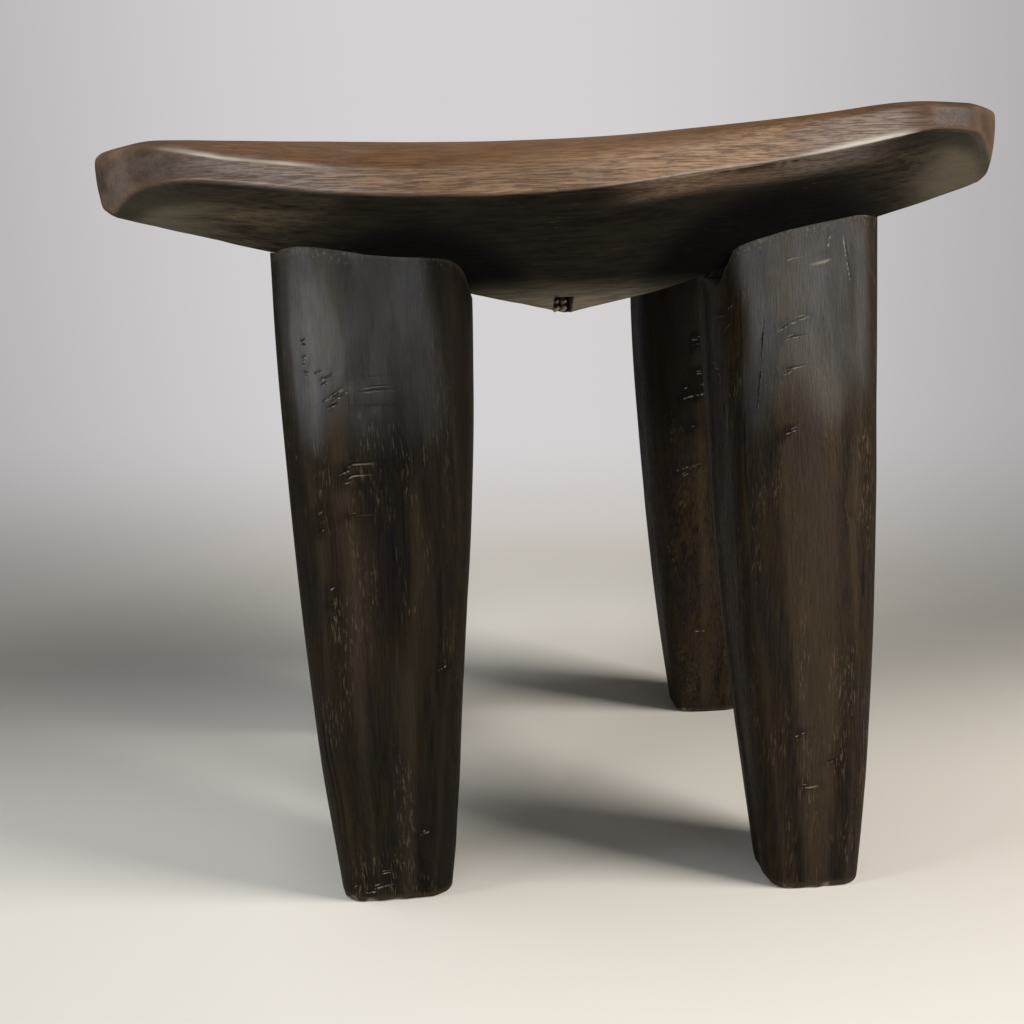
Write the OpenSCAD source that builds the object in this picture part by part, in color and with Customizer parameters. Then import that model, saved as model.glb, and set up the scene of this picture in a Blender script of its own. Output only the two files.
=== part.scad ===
// A carved wooden stool: a dished seat on four tapered legs, each held by a round tenon in a blind mortise.
// The origin is on the floor under the middle of the seat. +X is to the right and the front faces -Y.

/* [Seat] */
// Length of the seat from end to end
seat_l = 426; // [390:1:480]
// Depth of the seat from front to back
seat_w = 290; // [270:1:330]
// Height of the seat's highest flat, at its right end
seat_top_z = 376; // [300:1:460]
// Radius of the seat's corners, seen from above
corner_r = 60; // [30:1:90]
// Depth of the dish below the highest flat
dish_depth = 13; // [8:0.5:18]
// Radius of the dish across the top
dish_r = 1700; // [1400:10:2600]
// Sideways place of the lowest line of the dish
dish_x = -50; // [-90:1:0]
// Thickness of the seat at each end
end_t = 30; // [26:0.5:36]
// Radius of the rounded upper edge at each end
end_r = 14; // [6:1:16]
// Length of the bevel under each end
end_bevel_l = 20; // [6:1:28]
// Height of the bevel under each end
end_bevel_h = 11; // [4:1:12]

/* [Underside] */
// Depth of the keel below the highest flat
keel_depth = 88; // [76:1:100]
// Sideways place of the keel
keel_x = 6.5; // [-10:0.5:30]
// Length of the keel, front to back
keel_l = 150; // [120:1:180]
// Height of the band along the front and back, where it is widest
band_h = 23.5; // [18:0.5:30]
// Sideways place where the band is widest
band_x = -38.5; // [-70:0.5:0]
// Radius of the curve of the band's lower edge
band_r = 790; // [700:10:1200]

/* [Legs] */
// Depth of each leg at the top, front to back
leg_top_d = 84; // [74:1:92]
// Depth of each foot, front to back
foot_d = 46; // [36:1:60]
// Fullness of the legs between top and foot, where 1 is a straight taper
leg_belly = 1.75; // [1:0.05:2.5]
// Power of the outline of the legs' tops, where 2 is an ellipse
top_outline_power = 2.4; // [2:0.05:3]
// Power of the outline of the feet, where 2 is an ellipse
foot_outline_power = 3.2; // [2:0.05:4]
// Height of the worn bevel round each foot
foot_bevel_h = 2; // [1:0.5:6]
// Width of the worn bevel round each foot
foot_bevel_w = 1.5; // [0.5:0.5:4]

/* [Front left leg] */
// Distance of its top from the left end
fl_top_side = 124; // [115:1:135]
// Distance of its top from the front
fl_top_front = 72; // [66:1:80]
// Distance of its foot from the left end
fl_foot_side = 120; // [100:1:135]
// Distance of its foot from the front
fl_foot_front = 47; // [32:1:72]
// Width of its top
fl_top_w = 96; // [80:1:100]
// Width of its foot
fl_foot_w = 58; // [45:1:75]

/* [Front right leg] */
// Distance of its top from the right end
fr_top_side = 96; // [86:1:110]
// Distance of its top from the front
fr_top_front = 73; // [66:1:80]
// Distance of its foot from the right end
fr_foot_side = 93; // [80:1:110]
// Distance of its foot from the front
fr_foot_front = 31; // [26:1:65]
// Width of its top
fr_top_w = 85; // [76:1:95]
// Width of its foot
fr_foot_w = 50; // [42:1:70]

/* [Back left leg] */
// Distance of its top from the left end
bl_top_side = 131; // [120:1:140]
// Distance of its top from the back
bl_top_back = 71; // [66:1:80]
// Distance of its foot from the left end
bl_foot_side = 121; // [100:1:138]
// Distance of its foot from the back
bl_foot_back = 35; // [28:1:70]
// Width of its top
bl_top_w = 92; // [80:1:100]
// Width of its foot
bl_foot_w = 54; // [45:1:70]

/* [Back right leg] */
// Distance of its top from the right end
br_top_side = 103; // [90:1:112]
// Distance of its top from the back
br_top_back = 71; // [66:1:80]
// Distance of its foot from the right end
br_foot_side = 89; // [78:1:110]
// Distance of its foot from the back
br_foot_back = 28; // [26:1:65]
// Width of its top
br_top_w = 86; // [76:1:96]
// Width of its foot
br_foot_w = 48; // [42:1:66]

/* [Joints] */
// Diameter of the round tenon on top of each leg
tenon_d = 52; // [36:1:56]
// Length of the tenon above the underside, at the tenon's middle
tenon_l = 26; // [16:1:30]
// Clearance between a tenon and the wall of its mortise
tenon_gap = 0.15; // [0.05:0.05:0.4]
// Dark gap between a leg's shoulder and the underside
shoulder_gap = 0.3; // [0.1:0.1:0.8]

/* [Peg] */
// Width of the square notch at the front end of the keel
notch_w = 9; // [6:0.5:12]
// Sideways place of the notch, from the keel
notch_x = -3; // [-5:0.5:2]
// Height of the notch above the keel
notch_h = 8.5; // [6:0.5:12]
// Depth of the notch behind the front end of the keel
notch_d = 12; // [8:1:16]
// Clearance on each side of the peg's broken end
peg_gap = 0.2; // [0.1:0.1:0.4]
// Thickness of the splinters at the peg's broken end
peg_splinter = 2.5; // [1.5:0.5:3]

/* [Hidden] */

seat_wood = [0.38, 0.27, 0.19];
leg_wood = [0.17, 0.15, 0.14];
peg_wood = [0.52, 0.43, 0.33];

half_l = seat_l / 2;
half_w = seat_w / 2;
half_keel = keel_l / 2;
dish_z = seat_top_z - dish_depth;
keel_z = seat_top_z - keel_depth;

// Height of the top
function top_z(x) = min(seat_top_z, dish_z + pow(x - dish_x, 2) / (2 * dish_r));

// The underside climbs from the keel to each end, by these heights for each millimetre.
rise_left = (top_z(-half_l) - end_t - keel_z) / (half_l + keel_x);
rise_right = (top_z(half_l) - end_t - keel_z) / (half_l - keel_x);

// Height of the underside beside the keel
function under_z(x) = keel_z + (x < keel_x ? (keel_x - x) * rise_left : (x - keel_x) * rise_right);

// The curved slopes under the front and back bands climb from the keel's ends to the band.
band_z = top_z(band_x) - band_h;
band_angle = atan2(band_z - keel_z, half_w - half_keel);
slope_r = band_r / cos(band_angle);

// The legs' sizes and places at the top are measured where the underside is over the front left leg.
shoulder_z = under_z(fl_top_side - half_l) - tenon_l / 2;

// The legs' blanks reach half way up the seat's band before they are cut.
blank_z = band_z + band_h / 2;
sides = 28;
rings = 16;

// Each leg's middle at the top and at the foot, and its width at the top and at the foot
front_left = [
    [fl_top_side - half_l, fl_top_front - half_w],
    [fl_foot_side - half_l, fl_foot_front - half_w],
    fl_top_w,
    fl_foot_w
];
front_right = [
    [half_l - fr_top_side, fr_top_front - half_w],
    [half_l - fr_foot_side, fr_foot_front - half_w],
    fr_top_w,
    fr_foot_w
];
back_left = [
    [bl_top_side - half_l, half_w - bl_top_back],
    [bl_foot_side - half_l, half_w - bl_foot_back],
    bl_top_w,
    bl_foot_w
];
back_right = [
    [half_l - br_top_side, half_w - br_top_back],
    [half_l - br_foot_side, half_w - br_foot_back],
    br_top_w,
    br_foot_w
];
legs = [front_left, front_right, back_left, back_right];

// The outline of one end in the XZ plane, from its bevel up over its rounded edge; side is -1 or 1
function end_outline(side) =
    let (
        x = side * half_l,
        in_x = x - side * end_bevel_l,
        round_z = top_z(x) - end_r
    )
    concat(
        [[in_x, under_z(in_x)], [x, under_z(x) + end_bevel_h]],
        [for (a = [0 : 15 : 90]) [x - side * end_r * (1 - cos(a)), round_z + end_r * sin(a)]]
    );

function turned(list) = [for (i = [len(list) - 1 : -1 : 0]) list[i]];

// Height of the end of a leg's tenon
function tenon_top(leg) = under_z(leg[0][0]) + tenon_l;

// Share of the way up a leg's shaped length
function up(z) = min(1, z / shoulder_z);

// Size at height z, which swells from the foot towards the top
function swell(z, foot, top) = foot + (top - foot) * (1 - pow(1 - up(z), leg_belly));

// Power of the outline at height z
function power(z) = foot_outline_power + (top_outline_power - foot_outline_power) * up(z);

// One ordinate of a rounded square's outline
function bulge(c, n) = sign(c) * pow(abs(c), 2 / n);

// Height of a ring, with the lowest two making the bevel
function ring_z(i) = i == 0 ? 0 : foot_bevel_h + (blank_z - foot_bevel_h) * (i - 1) / (rings - 1);

// The points of a ring of a leg, drawn in by the width of the bevel
function ring(leg, z, bevel) = [
    for (s = [0 : sides - 1])
        let (
            at = leg[1] + (leg[0] - leg[1]) * z / shoulder_z,
            a = 360 * s / sides,
            x = bulge(cos(a), power(z)) * (swell(z, leg[3], leg[2]) / 2 - bevel),
            y = bulge(sin(a), power(z)) * (swell(z, foot_d, leg_top_d) / 2 - bevel)
        )
        [at[0] + x, at[1] + y, z]
];

function ring_points(leg) = [
    for (i = [0 : rings])
        for (p = ring(leg, ring_z(i), i == 0 ? foot_bevel_w : 0)) p
];

function wall_faces() = [
    for (i = [0 : rings - 1])
        for (s = [0 : sides - 1])
            for (f = [
                [i * sides + s, (i + 1) * sides + s, (i + 1) * sides + (s + 1) % sides],
                [i * sides + s, (i + 1) * sides + (s + 1) % sides, i * sides + (s + 1) % sides]
            ]) f
];

bottom_face = [for (s = [0 : sides - 1]) s];
top_face = [for (s = [sides - 1 : -1 : 0]) rings * sides + s];

// Outline of the seat from above
module seat_plan() {
    in_l = seat_l - 2 * corner_r;
    in_w = seat_w - 2 * corner_r;
    square([in_l, seat_w], center = true);
    square([seat_l, in_w], center = true);
    for (x = [-1, 1], y = [-1, 1])
        translate([x * in_l / 2, y * in_w / 2])
            circle(r = corner_r, $fn = 120);
}

// Everything above the two long slopes that meet at the keel, with the ends shaped
module keel_wedge() {
    rotate([90, 0, 0])
        linear_extrude(height = 2 * seat_w, center = true)
            polygon(concat(
                [[keel_x, keel_z]],
                end_outline(1),
                [[half_l - end_r, seat_top_z], [end_r - half_l, seat_top_z]],
                turned(end_outline(-1))
            ));
}

// Everything above the curved slope under the front band
module front_slope() {
    translate([band_x, slope_r * sin(band_angle) - half_keel, keel_z + slope_r * cos(band_angle)])
        rotate([90 - band_angle, 0, 0])
            cylinder(r = slope_r, h = 4 * seat_w, center = true, $fn = 480);
}

// The seat before the dish, the mortises and the notch are cut
module seat_block() {
    intersection() {
        linear_extrude(height = seat_top_z)
            seat_plan();
        keel_wedge();
        front_slope();
        mirror([0, 1, 0])
            front_slope();
    }
}

module seat() {
    color(seat_wood)
        difference() {
            seat_block();
            translate([dish_x, 0, dish_z + dish_r])
                rotate([90, 0, 0])
                    cylinder(r = dish_r, h = 2 * seat_w, center = true, $fn = 720);
            for (leg = legs)
                translate([leg[0][0], leg[0][1], 0])
                    cylinder(d = tenon_d + 2 * tenon_gap, h = tenon_top(leg), $fn = 96);
            translate([keel_x + notch_x - notch_w / 2, -half_w, 0])
                cube([notch_w, half_w - half_keel + notch_d, keel_z + notch_h]);
        }
}

// A leg's shaft, cut to the underside, with its tenon
module leg(spec) {
    color(leg_wood)
        union() {
            difference() {
                polyhedron(
                    points = ring_points(spec),
                    faces = concat([bottom_face], wall_faces(), [top_face]),
                    convexity = 4
                );
                translate([0, 0, -shoulder_gap])
                    seat_block();
            }
            translate([spec[0][0], spec[0][1], tenon_top(spec) - 2 * tenon_l])
                cylinder(d = tenon_d, h = 2 * tenon_l, $fn = 96);
        }
}

module leg_front_left() {
    leg(front_left);
}

module leg_front_right() {
    leg(front_right);
}

module leg_back_left() {
    leg(back_left);
}

module leg_back_right() {
    leg(back_right);
}

// The broken end of a square peg, wedged against the back and the roof of the notch
module apex_peg() {
    back = notch_d - half_keel;
    color(peg_wood)
        translate([keel_x + notch_x, 0, keel_z])
            rotate([90, 0, 90])
                linear_extrude(height = notch_w - 2 * peg_gap, center = true)
                    polygon([
                        [back, peg_splinter / 2],
                        [back, notch_h],
                        [back - notch_d / 2, notch_h - peg_splinter],
                        [-half_keel - peg_splinter, notch_h / 2],
                        [-half_keel, peg_splinter / 2]
                    ]);
}

seat();
leg_front_left();
leg_front_right();
leg_back_left();
leg_back_right();
apex_peg();
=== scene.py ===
# %% [markdown]
# # A carved stool, dressed for the camera
# The frame holds the stool's real construction: a dished seat, four tapered legs with round tenons, and the
# broken end of a small peg. This lesson carves the looks of each piece over that frame, in metres, so every
# piece lies where the frame's own piece lies and nothing is fitted by hand.

# %% Load the frame
import math

import bmesh
import bpy
import numpy as np
from mathutils import Matrix, Vector
from mathutils.bvhtree import BVHTree
from mathutils.geometry import delaunay_2d_cdt


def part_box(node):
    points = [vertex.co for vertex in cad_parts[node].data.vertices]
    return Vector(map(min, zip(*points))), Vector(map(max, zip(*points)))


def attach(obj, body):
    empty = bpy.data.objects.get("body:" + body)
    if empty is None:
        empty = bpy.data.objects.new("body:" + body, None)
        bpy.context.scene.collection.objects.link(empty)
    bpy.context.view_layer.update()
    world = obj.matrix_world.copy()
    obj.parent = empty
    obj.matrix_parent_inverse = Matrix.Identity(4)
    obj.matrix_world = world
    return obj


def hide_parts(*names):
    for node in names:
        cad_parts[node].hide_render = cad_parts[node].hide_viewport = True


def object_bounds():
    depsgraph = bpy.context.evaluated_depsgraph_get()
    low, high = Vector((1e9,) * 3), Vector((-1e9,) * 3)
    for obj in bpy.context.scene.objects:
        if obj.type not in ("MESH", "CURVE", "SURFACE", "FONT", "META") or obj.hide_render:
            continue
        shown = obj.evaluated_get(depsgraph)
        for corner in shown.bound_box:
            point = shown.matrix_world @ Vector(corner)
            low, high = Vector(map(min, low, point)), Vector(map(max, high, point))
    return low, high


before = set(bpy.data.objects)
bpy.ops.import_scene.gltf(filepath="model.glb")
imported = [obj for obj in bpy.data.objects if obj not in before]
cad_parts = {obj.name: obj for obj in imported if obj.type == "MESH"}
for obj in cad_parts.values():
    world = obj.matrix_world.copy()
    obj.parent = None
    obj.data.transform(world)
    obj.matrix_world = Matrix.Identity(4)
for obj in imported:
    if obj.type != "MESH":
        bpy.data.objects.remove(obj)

MM = 0.001
frame_lo, frame_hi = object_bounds()
print("The frame's box in mm:", [round(v / MM, 1) for v in frame_hi - frame_lo])

# %% [markdown]
# ## The camera comes first
# The photograph was taken from in front, a little left of the stool's middle and just under the height of
# its seat, looking down at it by about twelve degrees and held almost level. Building the camera first
# lets later cells turn a place in the picture into a place on the wood, which is how the tool marks are
# placed.

# %% Make the camera
PICTURE = 1024
LENS_PIXELS = 1080
EYE = Vector((-0.061, -0.619, 0.305))
YAW = math.radians(-3.80)
PITCH = math.radians(12.04)
ROLL = math.radians(1.95)

look = Vector((-math.sin(YAW) * math.cos(PITCH), math.cos(YAW) * math.cos(PITCH), -math.sin(PITCH)))
level_right = Vector((math.cos(YAW), math.sin(YAW), 0))
level_up = level_right.cross(look)
right = math.cos(ROLL) * level_right - math.sin(ROLL) * level_up
up = math.sin(ROLL) * level_right + math.cos(ROLL) * level_up

camera_data = bpy.data.cameras.new("camera")
camera_data.sensor_width = 36
camera_data.lens = camera_data.sensor_width * LENS_PIXELS / PICTURE
camera_data.clip_start = 0.01
camera = bpy.data.objects.new("camera", camera_data)
camera.matrix_world = Matrix.Translation(EYE) @ Matrix((right, up, -look)).transposed().to_4x4()
bpy.context.collection.objects.link(camera)
bpy.context.scene.camera = camera
print("Lens in mm:", round(camera_data.lens, 2))


def sight_line(px, py):
    """The direction from the eye through one place in the picture."""
    middle = PICTURE / 2
    return (look * LENS_PIXELS + right * (px - middle) - up * (py - middle)).normalized()


# %% [markdown]
# ## Small tools for carving
# Hand-carved wood has no exact plane in it. A few small tools give that: a smooth noise on a seeded
# lattice, a soft corner between two surfaces, and steps that ease in and out. They work on whole arrays,
# because the meshes below have around a hundred thousand points each.

# %% Noise, soft corners and easing
LATTICE = 32


def wander(points, cell, seed):
    """Smooth noise from -1 to 1 at each point. Its features are about as large as cell, in mm."""
    table = np.random.default_rng(seed).uniform(-1, 1, (LATTICE,) * 3)
    at = points / (np.array(cell) * MM)
    base = np.floor(at).astype(int)
    part = at - base
    part = part * part * (3 - 2 * part)
    total = np.zeros(len(points))
    for corner in np.ndindex(2, 2, 2):
        share = np.prod(np.where(corner, part, 1 - part), axis=1)
        i, j, k = ((base + corner) % LATTICE).T
        total += share * table[i, j, k]
    return total


def patchy(points, cell, seed):
    """The same noise from 0 to 1."""
    return 0.5 + 0.5 * wander(points, cell, seed)


def soft_max(a, b, width):
    """The larger of two heights, with the corner between them rounded over the given width."""
    part = np.clip(0.5 + 0.5 * (a - b) / width, 0, 1)
    return b + (a - b) * part + width * part * (1 - part)


def ease(value, start, end):
    """0 before start, 1 after end, and a smooth step between."""
    part = np.clip((value - start) / (end - start), 0, 1)
    return part * part * (3 - 2 * part)


def span(value, start, full, fading, end):
    """0 before start and after end, 1 from full to fading, and smooth steps between."""
    return ease(value, start, full) * (1 - ease(value, fading, end))


def hump(value, middle, width):
    """1 at the middle, and a smooth fall to 0 on both sides."""
    return np.exp(-(((value - middle) / width) ** 2))


print("A step eased in quarters:", ease(np.linspace(0, 1, 5), 0, 1).round(2))


# %% [markdown]
# ## The seat's surfaces
# The seat is one block of wood. Its top is a shallow dish, and its underside is an upside-down hipped
# roof: two long planes meet at a keel that runs front to back, and a steeper curved slope rises from each
# end of the keel to the band along the front and the back. A short bevel finishes each end. All of them
# are written as heights over the plan, so that the legs can later ask for the underside's height wherever
# they need it.

# %% Heights of the top and of the underside
seat_lo, seat_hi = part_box("seat")
HALF_L = seat_hi.x
HALF_W = seat_hi.y
TOP_Z = seat_hi.z
KEEL_Z = seat_lo.z
DISH_Z = TOP_Z - 13 * MM
DISH_X = -50 * MM
DISH_R = 1700 * MM
END_T = 30 * MM
KEEL_X = 6.5 * MM
HALF_KEEL = 75 * MM
BAND_X = -38.5 * MM
BAND_H = 23.5 * MM
BAND_R = 790 * MM
BEVEL_L = 20 * MM
BEVEL_H = 11 * MM
CREASE = 2.4 * MM
RIM_ROUND = 1.6 * MM
KEEL_ROUND = 1.4 * MM
BEVEL_ROUND = 0.8 * MM

# How far the carver's line along the band's lower edge strays from its curve, from left to right
BAND_STRAY_X = np.array([-213, -172, -140, -91, -30, 13, 56, 91, 133, 160, 213]) * MM
BAND_STRAY = np.array([-2.4, -1.6, 0.2, -0.8, -0.6, 0, 2.2, 1, -0.4, -1.6, -2.2]) * MM

# The dish is a little shallower than a true arc, because its rim is rolled
CROWN_X = np.array([-213, -190, -150, -100, -50, -20, 10, 60, 110, 150, 213]) * MM
CROWN = np.array([1.0, 0.6, 2.0, 3.3, 2.8, 2.2, 1.8, 2.0, 1.5, 2.2, 3.0]) * MM


def soft_line(x, places, values):
    """A value read from a line through a few places, with its corners eased."""
    return sum(np.interp(x + shift * MM, places, values) for shift in (-12, -6, 0, 6, 12)) / 5


def dish_height(x):
    return DISH_Z + (x - DISH_X) ** 2 / (2 * DISH_R)


def top_height(x):
    dish = dish_height(x) + soft_line(x, CROWN_X, CROWN)
    return -soft_max(-dish, np.full_like(dish, -TOP_Z), RIM_ROUND)


def band_edge(x):
    level = dish_height(BAND_X) - BAND_H
    return level + (x - BAND_X) ** 2 / (2 * BAND_R) + soft_line(x, BAND_STRAY_X, BAND_STRAY)


RISE_LEFT = (dish_height(-HALF_L) - END_T - KEEL_Z) / (HALF_L + KEEL_X)
RISE_RIGHT = (TOP_Z - END_T - KEEL_Z) / (HALF_L - KEEL_X)
SLOPE = (DISH_Z - BAND_H - KEEL_Z) / (HALF_W - HALF_KEEL)
BELLY = Vector((54, -74)) * MM
BELLY_SIZE = Vector((34, 30)) * MM
BELLY_DROP = 2.6 * MM


def underside(x, y):
    left = KEEL_Z + (KEEL_X - x) * RISE_LEFT
    right_side = KEEL_Z + (x - KEEL_X) * RISE_RIGHT
    keel = soft_max(left, right_side, KEEL_ROUND)
    slope = band_edge(x) + (np.abs(y) - HALF_W) * SLOPE
    height = soft_max(keel, slope, CREASE)
    for side, rise, start in ((-1, RISE_LEFT, HALF_L + KEEL_X), (1, RISE_RIGHT, HALF_L - KEEL_X)):
        plane = KEEL_Z + (side * x + start - HALF_L) * rise
        reach = np.clip((side * x - HALF_L + BEVEL_L) / BEVEL_L, 0, 1)
        height = soft_max(height, plane + BEVEL_H * (1 - np.sqrt(1 - reach**2)), BEVEL_ROUND)
    fall = ((x - BELLY.x) / BELLY_SIZE.x) ** 2 + ((y - BELLY.y) / BELLY_SIZE.y) ** 2
    return height - BELLY_DROP * np.exp(-fall)


print("The underside climbs", round(RISE_LEFT, 3), "to the left and", round(RISE_RIGHT, 3), "to the right")

# %% [markdown]
# ## The seat's outline and its edge
# Seen from above the seat is a rectangle with broad corners. The adze left each corner as a few flats, so
# the arcs here are flattened towards a polygon. The edge has three parts: a rolled upper edge, broad at
# the left and narrow at the right; the band's face, which leans in a little at its top; and a small bevel
# under it. The edge is built as rings of points, one for each step of that profile, all the way round.

# %% Outline of the seat, seen from above
CORNER_R = 60 * MM
AROUND = 1000
END_CROWN = 2.4 * MM

# Where the adze's cuts meet on each corner's arc, in degrees, and how flat they are: back right, back left,
# front left, front right
CORNER_CUTS = (
    ((0, 12, 47, 80, 90), 0.4),
    ((0, 9, 38, 68, 90), 0.4),
    ((0, 25, 57, 84, 90), 0.1),
    ((0, 6, 34, 62, 90), 0.5),
)


def corner_reach(turn, cuts, flatness):
    """Distance from a corner's middle, where each cut is a chord of the arc."""
    cuts = np.radians(cuts)
    piece = np.clip(np.searchsorted(cuts, turn, side="right") - 1, 0, len(cuts) - 2)
    half = (cuts[piece + 1] - cuts[piece]) / 2
    middle = (cuts[piece + 1] + cuts[piece]) / 2
    return CORNER_R * (1 - flatness * (1 - np.cos(half) / np.cos(turn - middle)))


def seat_outline():
    """Points round the seat's plan at even steps, counted anticlockwise, and the way each one faces."""
    turn = np.radians(np.arange(0, 90.5, 0.5))
    path = []
    angles = []
    for quarter, (sx, sy) in enumerate(((1, 1), (-1, 1), (-1, -1), (1, -1))):
        reach = corner_reach(turn, *CORNER_CUTS[quarter])
        angle = turn + quarter * math.pi / 2
        cx = sx * (HALF_L - CORNER_R)
        cy = sy * (HALF_W - CORNER_R)
        path.append(np.stack([cx + reach * np.cos(angle), cy + reach * np.sin(angle)], axis=1))
        angles.append(angle)
    path = np.concatenate(path + [path[0][:1]])
    angles = np.concatenate(angles + [[2 * math.pi]])
    path[:, 0] -= END_CROWN * ease(-path[:, 1], 0, 110 * MM) * ease(path[:, 0], 120 * MM, 190 * MM)
    length = np.concatenate([[0], np.cumsum(np.linalg.norm(np.diff(path, axis=0), axis=1))])
    steps = np.linspace(0, length[-1], AROUND, endpoint=False)
    points = np.stack([np.interp(steps, length, path[:, 0]), np.interp(steps, length, path[:, 1])], axis=1)
    facing = np.interp(steps, length, angles)
    return points, np.stack([np.cos(facing), np.sin(facing)], axis=1)


outline, outward = seat_outline()
print("Outline points:", len(outline))

# %% Rings of the seat's edge
ROLL_STEPS = 13
FACE_STEPS = 14
BEVEL_STEPS = 6
FACE_LEAN = 1.8 * MM
FACE_LEAST = 1.5 * MM

# The edge's shape at places along the seat, in mm: place, roll's width, roll's height, how far the roll
# turns down in degrees before the face begins, and the lower bevel's height
EDGE_SHAPES = np.array([
    (-178, 11, 4, 58, 2.6),
    (-166, 13, 5.6, 55, 2.6),
    (-144, 16, 9, 52, 2.7),
    (-122, 18, 11, 54, 2.9),
    (-96, 20, 13.6, 62, 3.0),
    (-50, 22, 14, 84, 3.0),
    (-15, 20, 14, 90, 2.2),
    (20, 19, 13, 90, 1.8),
    (45, 17, 11, 86, 1.2),
    (85, 12, 7, 72, 0.8),
    (125, 9, 4.4, 62, 0.8),
    (160, 8, 3, 60, 0.9),
])
END_SHAPES = np.array([(-200, 26, 7, 84, 0.6), (200, 9, 3.4, 84, 2.2)])
END_BEVEL_W = 4 * MM
END_LEAN = 2.6 * MM


def end_share(outward_x):
    """0 along the front and the back, 1 at the ends, and a smooth step round the corners."""
    return ease(np.abs(outward_x), 0.4, 0.97)


def shape_at(x, outward_x, column):
    """One column of the edge's shape at each point of the outline."""
    sides = np.interp(x / MM, EDGE_SHAPES[:, 0], EDGE_SHAPES[:, column])
    ends = np.interp(x / MM, END_SHAPES[:, 0], END_SHAPES[:, column])
    end = end_share(outward_x)
    return sides * (1 - end) + ends * end


def edge_rings():
    """The rings from the top's rim down to the underside's rim, as an array of rings by points by xyz."""
    x, way = outline[:, 0], outward[:, 0]
    roll_w, roll_h = shape_at(x, way, 1) * MM, shape_at(x, way, 2) * MM
    turned = np.radians(shape_at(x, way, 3))
    bevel_h = shape_at(x, way, 4) * MM
    end = end_share(way)
    bevel_w = 0.75 * bevel_h * (1 - end) + END_BEVEL_W * end
    made = []
    for share in np.linspace(0, 1, ROLL_STEPS):
        angle = share * turned
        inset = FACE_LEAN + (roll_w - FACE_LEAN) * (1 - np.sin(angle) / np.sin(turned))
        at = outline - outward * inset[:, None]
        drop = roll_h * (1 - np.cos(angle)) / (1 - np.cos(turned))
        made.append(np.column_stack([at, top_height(at[:, 0]) - drop]))
    start = made[-1][:, 2]
    foot = np.minimum(underside(outline[:, 0], outline[:, 1]) + bevel_h, start - FACE_LEAST)
    for share in np.linspace(0, 1, FACE_STEPS + 1)[1:]:
        lean = FACE_LEAN * (1 - share) ** 1.5 + END_LEAN * end * share**1.4
        at = outline - outward * lean[:, None]
        made.append(np.column_stack([at, start + (foot - start) * share]))
    for share in np.linspace(0, 1, BEVEL_STEPS + 1)[1:]:
        at = outline - outward * (bevel_w * share ** (0.85 + end) + END_LEAN * end)[:, None]
        made.append(np.column_stack([at, underside(at[:, 0], at[:, 1]) + bevel_h * (1 - share)]))
    made = np.array(made)
    arris = ROLL_STEPS + FACE_STEPS
    for first, last in ((ROLL_STEPS - 3, ROLL_STEPS + 1), (arris - 3, arris + 2)) * 2:
        inner = slice(first, last)
        before, after = slice(first - 1, last - 1), slice(first + 1, last + 1)
        made[inner] = made[before] / 4 + made[inner] / 2 + made[after] / 4
    return made


rings = edge_rings()
print("Edge rings:", len(rings))

# %% [markdown]
# ## Filling the top and the underside
# Inside the innermost rings both surfaces are covered with an even honeycomb of points, joined by Delaunay
# triangles. Rings all the way to the middle would crowd there, and a square grid would fold at the corners.
# The underside gets the closer honeycomb, because its creases have to stay crisp.

# %% Honeycomb fill
TOP_STEP = 3.3 * MM
UNDER_STEP = 1.72 * MM


def inside(points, loop):
    """Whether each point lies inside a closed loop."""
    after = np.roll(loop, -1, axis=0)
    found = np.zeros(len(points), bool)
    for (x0, y0), (x1, y1) in zip(loop, after):
        crosses = (y0 > points[:, 1]) != (y1 > points[:, 1])
        if y0 != y1:
            found ^= crosses & (points[:, 0] < x0 + (points[:, 1] - y0) * (x1 - x0) / (y1 - y0))
    return found


def honeycomb(loop, inner, step):
    """Extra points inside a loop and the triangles over the loop's points and those extra ones."""
    rows = np.arange(-HALF_W, HALF_W, step * math.sqrt(3) / 2)
    columns = np.arange(-HALF_L, HALF_L, step)
    x, y = np.meshgrid(columns, rows)
    x = x + (np.arange(len(rows)) % 2)[:, None] * step / 2
    grid = np.column_stack([x.ravel(), y.ravel()])
    extra = grid[inside(grid, inner)]
    everything = [Vector(p) for p in np.concatenate([loop, extra])]
    made = delaunay_2d_cdt(everything, [], [list(range(len(loop)))], 1, 1e-7)
    source = np.array([places[0] for places in made[3]])
    if len(source) != len(everything):
        raise RuntimeError("the fill lost or added points: %d, not %d" % (len(source), len(everything)))
    return extra, source[np.array(made[2])]


def seat_mesh():
    count = len(outline)
    points = [rings.reshape(-1, 3)]
    ring = np.arange(count)
    faces = []
    for i in range(len(rings) - 1):
        a = i * count + ring
        b = i * count + np.roll(ring, -1)
        faces.append(np.column_stack([a, a + count, b + count]))
        faces.append(np.column_stack([a, b + count, b]))
    total = len(points[0])
    for first, step, height, flip in (
        (0, TOP_STEP, lambda p: top_height(p[:, 0]), False),
        ((len(rings) - 1) * count, UNDER_STEP, lambda p: underside(p[:, 0], p[:, 1]), True),
    ):
        loop = rings[first // count][:, :2]
        extra, triangles = honeycomb(loop, loop - outward * step * 0.8, step)
        mapped = np.where(triangles < count, triangles + first, triangles - count + total)
        faces.append(mapped[:, ::-1] if flip else mapped)
        points.append(np.column_stack([extra, height(extra)]))
        total += len(extra)
    return np.concatenate(points), np.concatenate(faces)


def to_object(name, points, faces):
    mesh = bpy.data.meshes.new(name)
    mesh.from_pydata(points.tolist(), [], faces.tolist())
    mesh.validate()
    piece = bpy.data.objects.new(name, mesh)
    bpy.context.collection.objects.link(piece)
    return piece


seat_points, seat_faces = seat_mesh()
seat = to_object("carved_seat", seat_points, seat_faces)
print("Seat triangles:", len(seat.data.polygons))

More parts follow.
